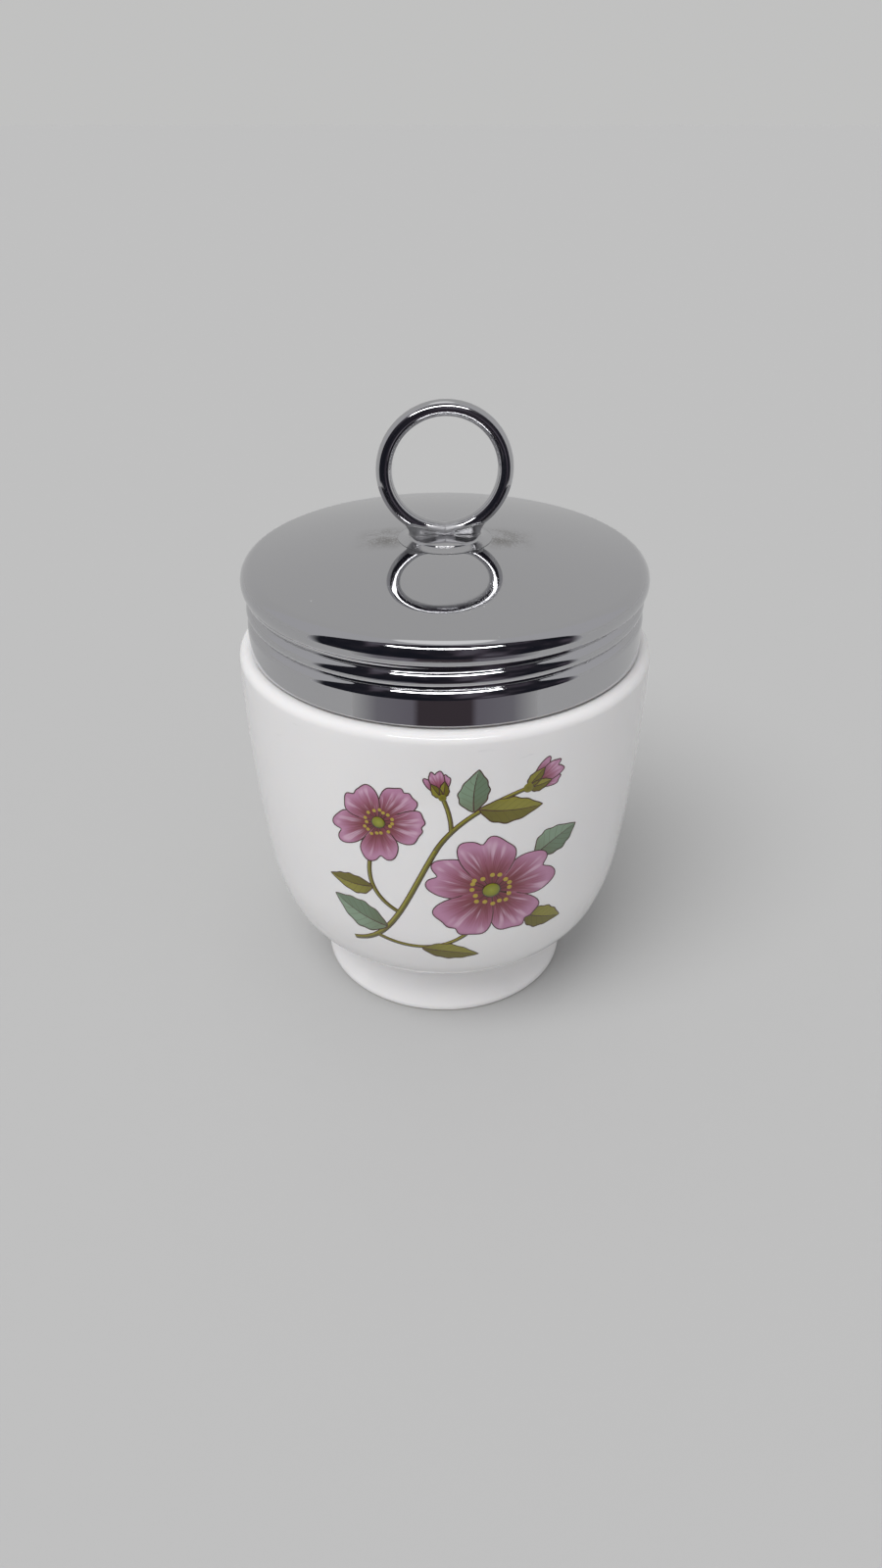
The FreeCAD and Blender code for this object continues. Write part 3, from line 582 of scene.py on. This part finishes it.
def addBlossom(sheets, design, random):
    # five petals that overlap, 72 degrees apart, and a ring of stamens round a heart
    b, at, size = blossomForm, design["at"], design["size"]
    addDot(sheets, at, b["under"] * size, "line", design["layer"] - 1)
    for step, k in enumerate(b["order"]):
        heading = design["turn"] + 72 * k + random.uniform(-b["sway"], b["sway"])
        addPetal(sheets, design, heading, size * random.uniform(*b["reach"]),
                 math.radians(b["spread"]), design["layer"] + 2 * step, random.uniform(0, 1))
    top = design["layer"] + 2 * len(b["order"])
    for k in range(b["stamens"]):
        angle = fullTurn * (k + random.uniform(-b["stray"], b["stray"])) / b["stamens"]
        reach = size * random.uniform(*b["to"])
        way = np.array([math.cos(angle), math.sin(angle)])
        path = squashed(linePoints(b["from"] * size * way, reach * way, 5), design)
        addRibbon(sheets, path, b["line"], "line", top)
        addDot(sheets, path[-1], b["anther"] * size, "heart", top + 2, tone=0.75)
    addDot(sheets, at, b["rim"] * size, "line", top + 1)
    addDot(sheets, at, b["heart"] * size, "heart", top + 2, tone=0.2)


def addLeaf(sheets, at, heading, size, bend, tone, layer):
    # along a bent midrib; the width is size * sin(pi * u^0.85)^0.9 with small waves
    u = np.linspace(0, 1, 34)[:, None]
    v = np.linspace(-1, 1, 13)[None, :]
    way = np.array([math.cos(math.radians(heading)), math.sin(math.radians(heading))])
    side = np.array([-way[1], way[0]])
    middle = at + size[0] * u * way + bend * (u ** 2) * side
    width = size[1] * (np.sin(math.pi * np.clip(u, 0.004, 0.996) ** 0.85) ** 0.9)
    width = width * (1 + 0.05 * np.cos(26 * u))
    flat = middle[:, None, :] + (v * width)[..., None] * side
    addSheet(sheets, flat, "leaf", layer, along=u, across=v, tone=tone)
    line = sprayDesign["line"]
    outline = np.concatenate([flat[:, 0], flat[::-1, -1]])
    addRibbon(sheets, outline, line, "line", layer + 1)
    addRibbon(sheets, middle[:-3], np.linspace(1.2, 0.5, len(middle) - 3) * line, "line", layer + 1)


def addBud(sheets, design):
    # three slim petals that overlap, held by two pointed green sepals
    size, heading = design["size"], design["heading"]
    for step, (lean, reach) in enumerate(((-17, 0.86), (17, 0.9), (0, 1.0))):
        addPetal(sheets, design, heading + lean, size * reach, math.radians(24),
                 design["layer"] + 2 * step, 0.3 * step + 0.1)
    for lean, bend in ((-30, 0.5), (30, -0.5)):
        addLeaf(sheets, design["at"], heading + lean, (0.62 * size, 0.16 * size), bend * size / 5,
                0.05, design["layer"] + 7)
    addDot(sheets, design["at"], 0.13 * size, "leaf", design["layer"] + 9)


def drawSpray(d):
    random = np.random.default_rng(d["seed"])
    sheets = []
    for widths, *handles in d["stems"]:
        path = bezier(*handles)
        width = np.linspace(*widths, len(path)) * d["stem"]
        addRibbon(sheets, path, width + 1.2 * d["line"], "line", 0)
        addRibbon(sheets, path, width - 0.4 * d["line"], "leaf", 1, tone=-0.4)
    for leaf in d["leaves"]:
        addLeaf(sheets, *leaf, 3)
    for bud in d["buds"]:
        addBud(sheets, bud)
    for blossom in d["blossoms"]:
        addBlossom(sheets, blossom, random)
    return sheets


def ontoBowl(flat, lift, d):
    # y is measured up the bowl's side from the design's middle, and x round the bowl, so a
    # point is at the angle x / radius; lift is along the bowl's normal
    profile = cupOutside(cupSizes, finer=8)[1]
    reached = lengthsAlong(profile)
    away = np.interp(d["middle"], profile[:, 1], reached) + flat[..., 1]
    radius = np.interp(away, reached, profile[:, 0])
    height = np.interp(away, reached, profile[:, 1])
    outward = np.interp(away, reached, np.gradient(profile[:, 1], reached))
    upward = np.interp(away, reached, -np.gradient(profile[:, 0], reached))
    angle = flat[..., 0] / radius
    return aroundAxis(radius + lift * outward, angle, height + lift * upward)


def printOnBowl(name, sheets, d):
    # each shape is a thin closed sheet: its front lies just above the glaze and its back just
    # below, and the rim between them and the back are flat shaded
    points, faces, ink, smooth, start = [], [], [], [], 0
    marks = {mark: [] for mark in inkMarks}
    for sheet in sheets:
        rows, columns = sheet["flat"].shape[:2]
        count = rows * columns
        front = ontoBowl(sheet["flat"], d["lift"] + d["layer"] * sheet["layer"], d)
        back = ontoBowl(sheet["flat"], -d["sunk"], d)
        points += [front.reshape(-1, 3), back.reshape(-1, 3)]
        index = np.arange(count).reshape(rows, columns)
        rim = np.concatenate([index[:-1, 0], index[-1, :-1], index[:0:-1, -1], index[0, :0:-1]])
        following = np.roll(rim, -1)
        cells = gridFaces(rows, columns, wrapColumns=False)
        sides = np.stack([following, rim, rim + count, following + count], axis=1)
        faces.append(np.concatenate([cells, cells[:, ::-1] + count, sides]) + start)
        ink.append(np.full(len(faces[-1]), sheet["ink"]))
        smooth.append(np.arange(len(faces[-1])) < len(cells))
        for key, value in sheet["marks"].items():
            marks[key] += 2 * [value.ravel()]
        start += 2 * count
    marks = {key: np.concatenate(value) for key, value in marks.items()}
    piece = meshFrom(name, np.concatenate(points), [np.concatenate(faces)], marks=marks)
    piece.data.polygons.foreach_set("material_index", np.concatenate(ink).astype(np.int32))
    piece.data.polygons.foreach_set("use_smooth", np.concatenate(smooth))
    return piece


spray = drawSpray(sprayDesign)
flowers = printOnBowl("flowerPrint", spray, sprayDesign)
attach(flowers, "cup")
print("flower print:", len(spray), "shapes,", len(flowers.data.polygons), "faces")


# materials

def makeMaterial(name):
    material = bpy.data.materials.new(name)
    material.use_nodes = True
    return material, material.node_tree, material.node_tree.nodes["Principled BSDF"]


def setInputs(tree, node, inputs):
    # each input is a plain value or another node's output
    for key, value in inputs.items():
        if isinstance(value, bpy.types.NodeSocket):
            tree.links.new(value, node.inputs[key])
        else:
            node.inputs[key].default_value = value


def addNode(tree, kind, inputs=None, **settings):
    made = tree.nodes.new("ShaderNode" + kind)
    for key, value in settings.items():
        setattr(made, key, value)
    setInputs(tree, made, inputs or {})
    return made


def objectPlace(tree):
    return addNode(tree, "TexCoord").outputs["Object"]


def partsOf(tree, place):
    return addNode(tree, "SeparateXYZ", {0: place}).outputs[:3]


def addMath(tree, operation, first, second=0.0):
    return addNode(tree, "Math", {0: first, 1: second}, operation=operation).outputs[0]


def product(tree, first, *others):
    for other in others:
        first = addMath(tree, "MULTIPLY", first, other)
    return first


def raised(tree, base, mark, amount):
    # base + mark * amount
    return addMath(tree, "ADD", base, product(tree, mark, amount))


def fromAxis(tree, place):
    # how far a point is from the axis
    x, y, z = partsOf(tree, place)
    return addMath(tree, "SQRT", addMath(tree, "ADD", product(tree, x, x), product(tree, y, y)))


def heightOf(tree, place):
    return partsOf(tree, place)[2]


def addRange(tree, value, low, high, start=0.0, end=1.0):
    # goes smoothly from start to end while the value goes from low to high
    made = addNode(tree, "MapRange", {"Value": value, "From Min": low, "From Max": high,
                                      "To Min": start, "To Max": end},
                   interpolation_type="SMOOTHSTEP")
    return made.outputs[0]


def addMix(tree, factor, first, second):
    made = addNode(tree, "Mix", {0: factor, 6: first, 7: second}, data_type="RGBA")
    return made.outputs[2]


def painted(tree, base, colour, *marks):
    # base, painted over with a colour by the product of the marks
    return addMix(tree, product(tree, *marks), base, (*colour, 1))


def addNoise(tree, place, scale, detail, stretch=None, turn=(0, 0, 0)):
    if stretch:
        place = addNode(tree, "Mapping", {"Vector": place, "Scale": stretch,
                                          "Rotation": turn}).outputs[0]
    return addNode(tree, "TexNoise", {"Vector": place, "Scale": scale,
                                      "Detail": detail}).outputs[0]


def addSpecks(tree, place, scale, rare, size):
    # 1 on a small dot in a few cells of a Voronoi pattern
    cells = addNode(tree, "TexVoronoi", {"Vector": place, "Scale": scale})
    colour = addNode(tree, "SeparateColor", {0: cells.outputs["Color"]}).outputs[0]
    return product(tree, addMath(tree, "GREATER_THAN", colour, rare),
                   addRange(tree, cells.outputs["Distance"], size, 0.5 * size))


def addRamp(tree, factor, stops):
    ramp = addNode(tree, "ValToRGB", {0: factor})
    while len(ramp.color_ramp.elements) < len(stops):
        ramp.color_ramp.elements.new(1.0)
    for element, (place, colour) in zip(ramp.color_ramp.elements, stops):
        element.position = place
        element.color = (*colour, 1)
    return ramp.outputs[0]


def addBump(tree, height, distance):
    return addNode(tree, "Bump", {"Height": height, "Strength": 0.5,
                                  "Distance": distance}).outputs[0]


porcelainLook = {
    "body": (0.80, 0.79, 0.80), "cloud": (0.84, 0.83, 0.82), "speck": (0.30, 0.25, 0.20),
    "rub": (0.40, 0.40, 0.43), "bisque": (0.70, 0.66, 0.61), "gloss": 0.07, "inkGloss": 0.09,
    "ior": 1.52, "peel": 0.00002, "depth": 0.0012,
}


def glazeBump(tree, place):
    # the faint unevenness of a fired glaze
    return addBump(tree, addNoise(tree, place, 160, 2), porcelainLook["peel"])


def makePorcelain(look):
    material, tree, shader = makeMaterial("glazedPorcelain")
    place = objectPlace(tree)
    height = heightOf(tree, place)
    bare = addRange(tree, height, 0.0005, 0.0002)  # the resting ring has no glaze
    body = addMix(tree, addNoise(tree, place, 40, 3), (*look["body"], 1), (*look["cloud"], 1))
    body = painted(tree, body, look["speck"], addSpecks(tree, place, 190, 0.975, 0.035), 0.6)
    # faint grey marks where the lid has rubbed the top of the bowl
    rub = addRange(tree, addNoise(tree, place, 1, 3, (120, 120, 900)), 0.66, 0.74)
    body = painted(tree, body, look["rub"], addRange(tree, height, 0.0535, 0.058),
                   addRange(tree, height, 0.0632, 0.061), rub, 0.3)
    gloss = addRange(tree, addNoise(tree, place, 300, 2), 0.3, 0.7, look["gloss"] * 0.7,
                     look["gloss"] * 1.4)
    setInputs(tree, shader, {
        "Base Color": painted(tree, body, look["bisque"], bare),
        "Roughness": raised(tree, gloss, bare, 0.5), "Normal": glazeBump(tree, place),
        "IOR": look["ior"], "Subsurface Weight": 0.12, "Subsurface Radius": (1.0, 0.8, 0.6),
        "Subsurface Scale": look["depth"]})
    return material


chromeLook = {
    "plate": (0.54, 0.54, 0.555), "brazed": (0.43, 0.43, 0.44), "dull": (0.40, 0.38, 0.37),
    "tarnish": (0.23, 0.22, 0.21), "dust": (0.80, 0.80, 0.80), "inside": (0.42, 0.41, 0.41),
    "wave": 0.00003,
}


def addLidWear(tree, place, colour, rough, look):
    # what only the lid has; returns its colour, roughness and how far it is bare metal
    x, y, z = partsOf(tree, place)
    # rubbed bands that run round the skirt
    streaks = addRange(tree, addNoise(tree, place, 1, 4, (45, 45, 1500)), 0.52, 0.74)
    patches = addRange(tree, addNoise(tree, place, 55, 2), 0.42, 0.62)
    skirt = addRange(tree, fromAxis(tree, place), 0.0302, 0.0309)
    rough = raised(tree, rough, product(tree, skirt, streaks, patches), 0.2)
    # dull speckled marks on the dome, to the left and right of the boss
    x, y = [addMath(tree, "ABSOLUTE", value) for value in (x, y)]
    near = product(tree, addRange(tree, x, 0.0060, 0.0078), addRange(tree, x, 0.0150, 0.0085),
                   addRange(tree, y, 0.0058, 0.0008))
    blotch = product(tree, addNoise(tree, place, 300, 3), addNoise(tree, place, 3500, 3))
    stain = addRange(tree, blotch, 0.12, 0.36)
    colour = painted(tree, colour, look["tarnish"], near, stain, 0.95)
    rough = raised(tree, rough, near, 0.12)
    # dust on the dome: pale specks that aren't metal
    dust = product(tree, addSpecks(tree, place, 1100, 0.965, 0.11),
                   addRange(tree, z, 0.0762, 0.0768))
    colour = painted(tree, colour, look["dust"], dust)
    inner = addNode(tree, "Attribute", attribute_name="inside").outputs["Fac"]
    colour = painted(tree, colour, look["inside"], inner)
    return (colour, raised(tree, rough, inner, 0.25),
            addMath(tree, "SUBTRACT", 1.0, product(tree, dust, 0.7)))


def makeChrome(name, gloss, look, metal="plate", satin=None, isLid=False):
    # plated metal: nearly a mirror, with faint clouds, hairline scratches and pits. satin is
    # what it is measured by, where it starts and where it is full, and how rough it is there.
    material, tree, shader = makeMaterial(name)
    place = objectPlace(tree)
    rough = addRange(tree, addNoise(tree, place, 90, 4), 0.35, 0.75, gloss * 0.7, gloss * 1.6)
    hair = addRange(tree, addNoise(tree, place, 1, 1, (60, 2600, 60), (0, 0, 0.6)), 0.70, 0.76)
    cross = addRange(tree, addNoise(tree, place, 1, 1, (2200, 50, 50), (0, 0, 0.35)), 0.71, 0.77)
    rough = raised(tree, rough, addMath(tree, "MAXIMUM", hair, cross), 0.03)
    pits = addSpecks(tree, place, 520, 0.93, 0.06)
    rough = raised(tree, rough, pits, 0.3)
    colour = painted(tree, (*look[metal], 1), look["dull"], pits, 0.55)
    if satin:
        measure, start, full, amount = satin
        where = addRange(tree, measure(tree, place), start * mm, full * mm)
        rough = raised(tree, rough, where, amount)
    shader.inputs["Metallic"].default_value = 1
    if isLid:
        colour, rough, bare = addLidWear(tree, place, colour, rough, look)
        setInputs(tree, shader, {"Metallic": bare})
    wave = addBump(tree, addNoise(tree, place, 75, 2), look["wave"])
    setInputs(tree, shader, {"Base Color": colour, "Roughness": rough, "Normal": wave})
    return material


def makeInk(name, paint):
    # a fired-on ink under the same gloss as the glaze; paint makes its colour
    material, tree, shader = makeMaterial(name)
    marks = [addNode(tree, "Attribute", attribute_name=mark).outputs["Fac"] for mark in inkMarks]
    setInputs(tree, shader, {
        "Base Color": paint(tree, *marks), "Normal": glazeBump(tree, objectPlace(tree)),
        "Roughness": porcelainLook["inkGloss"], "IOR": porcelainLook["ior"]})
    return material


def streaked(tree, along, across, tone, fine, low, high):
    # long streaks that run from a petal's root to its tip
    place = addNode(tree, "CombineXYZ", {0: product(tree, across, fine),
                                         1: product(tree, along, 1.6),
                                         2: product(tree, tone, 23.0)}).outputs[0]
    return addRange(tree, addNoise(tree, place, 1, 1), low, high)


def paintPetal(tree, along, across, tone):
    base = addRamp(tree, along, [(0.0, (0.12, 0.025, 0.027)), (0.38, (0.20, 0.048, 0.058)),
                                 (0.63, (0.33, 0.115, 0.185)), (0.88, (0.47, 0.230, 0.360)),
                                 (1.0, (0.45, 0.210, 0.335))])
    pale = streaked(tree, along, across, tone, 5.0, 0.50, 0.70)
    base = painted(tree, base, (0.64, 0.43, 0.55), pale, addRange(tree, along, 0.3, 0.6),
                   addRange(tree, along, 1.0, 0.84), 0.75)
    fade = addRange(tree, along, 0.92, 0.3)
    for fine, low, high, colour, amount in ((9.0, 0.52, 0.68, (0.22, 0.050, 0.075), 0.5),
                                            (24.0, 0.48, 0.58, (0.15, 0.028, 0.038), 0.7)):
        hatch = streaked(tree, along, across, tone, fine, low, high)
        base = painted(tree, base, colour, hatch, fade, amount)
    edge = addRange(tree, addMath(tree, "ABSOLUTE", across), 0.6, 1.0)
    return painted(tree, base, (0.24, 0.060, 0.095), edge, 0.4)


def paintLeaf(tree, along, across, tone):
    half = addRange(tree, across, -0.08, 0.08)
    olive = addMix(tree, half, (0.150, 0.130, 0.018, 1), (0.250, 0.230, 0.038, 1))
    sage = addMix(tree, half, (0.145, 0.205, 0.135, 1), (0.225, 0.310, 0.220, 1))
    body = addMix(tree, addRange(tree, tone, 0.3, 0.7), olive, sage)
    # side veins: evenly spaced lines that lean towards the tip
    lean = addMath(tree, "SUBTRACT", product(tree, along, 7.0),
                   product(tree, addMath(tree, "ABSOLUTE", across), 1.5))
    wave = addMath(tree, "SUBTRACT", addMath(tree, "FRACT", lean), 0.5)
    vein = addRange(tree, addMath(tree, "ABSOLUTE", wave), 0.07, 0.0)
    body = painted(tree, body, (0.07, 0.055, 0.015), vein, 0.5, addRange(tree, tone, -0.3, 0.0))
    return painted(tree, body, (0.09, 0.075, 0.015), addRange(tree, along, 0.5, 0.0), 0.4)


def paintLine(tree, along, across, tone):
    return addRamp(tree, addNoise(tree, objectPlace(tree), 900, 1),
                   [(0.3, (0.045, 0.018, 0.014)), (0.7, (0.085, 0.035, 0.026))])


def paintHeart(tree, along, across, tone):
    green = addRamp(tree, along, [(0.0, (0.30, 0.32, 0.04)), (1.0, (0.19, 0.19, 0.018))])
    return painted(tree, green, (0.42, 0.31, 0.05), addRange(tree, tone, 0.4, 0.6))


for piece, material in (
        (cup, makePorcelain(porcelainLook)),
        (lid, makeChrome("lidChrome", 0.045, chromeLook, isLid=True)),
        (boss, makeChrome("bossChrome", 0.07, chromeLook, satin=(fromAxis, 5.3, 5.8, 0.12))),
        (seat, makeChrome("saddleChrome", 0.5, chromeLook, metal="brazed")),
        (ring, makeChrome("ringChrome", 0.09, chromeLook, satin=(heightOf, 82.0, 81.5, 0.45)))):
    piece.data.materials.append(material)
for ink, paint in zip(inks, (paintPetal, paintLeaf, paintLine, paintHeart)):
    flowers.data.materials.append(makeInk(ink + "Ink", paint))
print("materials made")


# floor, cards, sky, light and camera

floorLook = {"half": 3000, "colour": (0.49, 0.49, 0.487)}
darkCard = {"radius": 200, "reach": 73, "low": 0, "high": 520, "power": 0.8}
lightStrip = {"radius": 195, "reach": 33, "low": 227, "high": 254, "power": 0.12}
darkApron = {"start": 100, "end": 200, "reach": 48, "height": 0.5}
stripStrength = 16


def makeFloor(s):
    half = s["half"]
    points = np.array([[-half, -half, 0], [half, -half, 0], [half, half, 0], [-half, half, 0]],
                      float)
    floor = meshFrom("floor", points, [np.array([[0, 1, 2, 3]])])
    material, tree, shader = makeMaterial("paleFloor")
    setInputs(tree, shader, {"Base Color": (*s["colour"], 1), "Roughness": 0.9,
                             "Specular IOR Level": 0})
    floor.data.materials.append(material)


def makeCard(name, grid, strength, paint=None):
    # a sheet that only shiny surfaces see. It is white unless paint makes its colour.
    rows, columns = grid.shape[:2]
    card = meshFrom(name, grid.reshape(-1, 3), [gridFaces(rows, columns, wrapColumns=False)])
    material, tree, shader = makeMaterial(name)
    tree.nodes.remove(shader)
    glow = addNode(tree, "Emission", {"Color": paint(tree) if paint else (1, 1, 1, 1),
                                      "Strength": strength})
    setInputs(tree, tree.nodes["Material Output"], {"Surface": glow.outputs[0]})
    card.data.materials.append(material)
    card.visible_camera = card.visible_diffuse = card.visible_shadow = False
    card.visible_transmission = False


def frontAngles(reach):
    # angles round the axis, as far to either side of the front
    return np.radians(np.linspace(-reach, reach, 60))[None, :]


def uprightGrid(radius, reach, low, high, power):
    # a curved sheet that stands in front of the object. Its top is at
    # low + (high - low) * cos(quarter turn * angle / reach)^power.
    around = frontAngles(reach)
    bow = np.maximum(np.cos(around / math.radians(reach) * math.pi / 2), 0) ** power
    height = low + np.linspace(0, 1, 24)[:, None] * (high - low) * bow
    return aroundAxis(radius, around, height)


def flatGrid(start, end, reach, height):
    # a ring's sector that lies in front of the object
    return aroundAxis(np.linspace(start, end, 8)[:, None], frontAngles(reach), height)


def cardColour(tree):
    # broad upright patches from near black to plum, which fade into the room at both sides
    place = objectPlace(tree)
    dark = addRamp(tree, addNoise(tree, place, 1, 2, (13, 13, 5)),
                   [(0.42, (0.014, 0.015, 0.022)), (0.55, (0.026, 0.024, 0.032)),
                    (0.63, (0.078, 0.066, 0.084)), (0.70, (0.130, 0.122, 0.146))])
    side = addMath(tree, "ABSOLUTE", partsOf(tree, place)[0])
    edge = math.sin(math.radians(darkCard["reach"])) * darkCard["radius"] * mm
    return painted(tree, dark, skyLook["room"], addRange(tree, side, 0.93 * edge, edge))


def apronColour(tree):
    # dark in the middle, plum beside it and as pale as the floor at both ends
    x, y, z = partsOf(tree, objectPlace(tree))
    turn = addMath(tree, "ARCTAN2", addMath(tree, "ABSOLUTE", x), product(tree, y, -1))
    share = addMath(tree, "DIVIDE", turn, math.radians(darkApron["reach"]))
    return addRamp(tree, share, [(0.27, (0.060, 0.048, 0.056)), (0.34, (0.18, 0.167, 0.195)),
                                 (0.72, (0.22, 0.212, 0.235)), (1.0, floorLook["colour"])])


skyLook = {
    "backdrop": (0.533, 0.533, 0.530), "behind": (0.36, 0.46), "low": (0.20, 0.10),
    "room": (0.54, 0.54, 0.555), "ceiling": (1.0, 1.0, 1.0), "overhead": (0.965, 0.975),
}


def makeWorld(s):
    # a pale backdrop behind and all round near the floor, a room of a cooler grey elsewhere,
    # and a bright ceiling overhead
    world = bpy.data.worlds.new("studio")
    bpy.context.scene.world = world
    world.use_nodes = True
    tree = world.node_tree
    x, y, z = partsOf(tree, addNode(tree, "TexCoord").outputs["Generated"])
    level = addMath(tree, "SQRT", addMath(tree, "SUBTRACT", 1.0, product(tree, z, z)))
    behind = addRange(tree, addMath(tree, "DIVIDE", y, level), *s["behind"])
    pale = addMath(tree, "MAXIMUM", behind, addRange(tree, z, *s["low"]))
    sky = addMix(tree, pale, (*s["room"], 1), (*s["backdrop"], 1))
    sky = painted(tree, sky, s["ceiling"], addRange(tree, z, *s["overhead"]))
    setInputs(tree, tree.nodes["Background"], {"Color": sky})


keyLight = {"power": 1.9, "angle": 40, "elevation": 58, "azimuth": -32}


def makeKey(s):
    data = bpy.data.lights.new("key", "SUN")
    data.energy = s["power"]
    data.angle = math.radians(s["angle"])
    key = bpy.data.objects.new("key", data)
    bpy.context.scene.collection.objects.link(key)
    rise, turn = math.radians(s["elevation"]), math.radians(s["azimuth"])
    towards = Vector((math.cos(rise) * math.sin(turn), -math.cos(rise) * math.cos(turn),
                      math.sin(rise)))
    key.rotation_euler = towards.to_track_quat("Z", "Y").to_euler()
    key.visible_glossy = False


cameraPlace = {"at": (-0.6, -168.9, 142.5), "tilt": 57.25, "lens": 26, "sensor": 36, "nearest": 5}


def makeCamera(s):
    camera = bpy.data.objects.new("camera", bpy.data.cameras.new("camera"))
    bpy.context.scene.collection.objects.link(camera)
    camera.location = [value * mm for value in s["at"]]
    camera.rotation_euler = (math.radians(s["tilt"]), 0, 0)
    camera.data.lens = s["lens"]
    camera.data.sensor_width = s["sensor"]
    camera.data.clip_start = s["nearest"] * mm
    bpy.context.scene.camera = camera


makeFloor(floorLook)
makeCard("darkCard", uprightGrid(**darkCard), 1, cardColour)
makeCard("lightStrip", uprightGrid(**lightStrip), stripStrength)
makeCard("darkApron", flatGrid(**darkApron), 1, apronColour)
makeWorld(skyLook)
makeKey(keyLight)
makeCamera(cameraPlace)
bpy.context.scene.view_settings.view_transform = "Standard"
print("stage made")
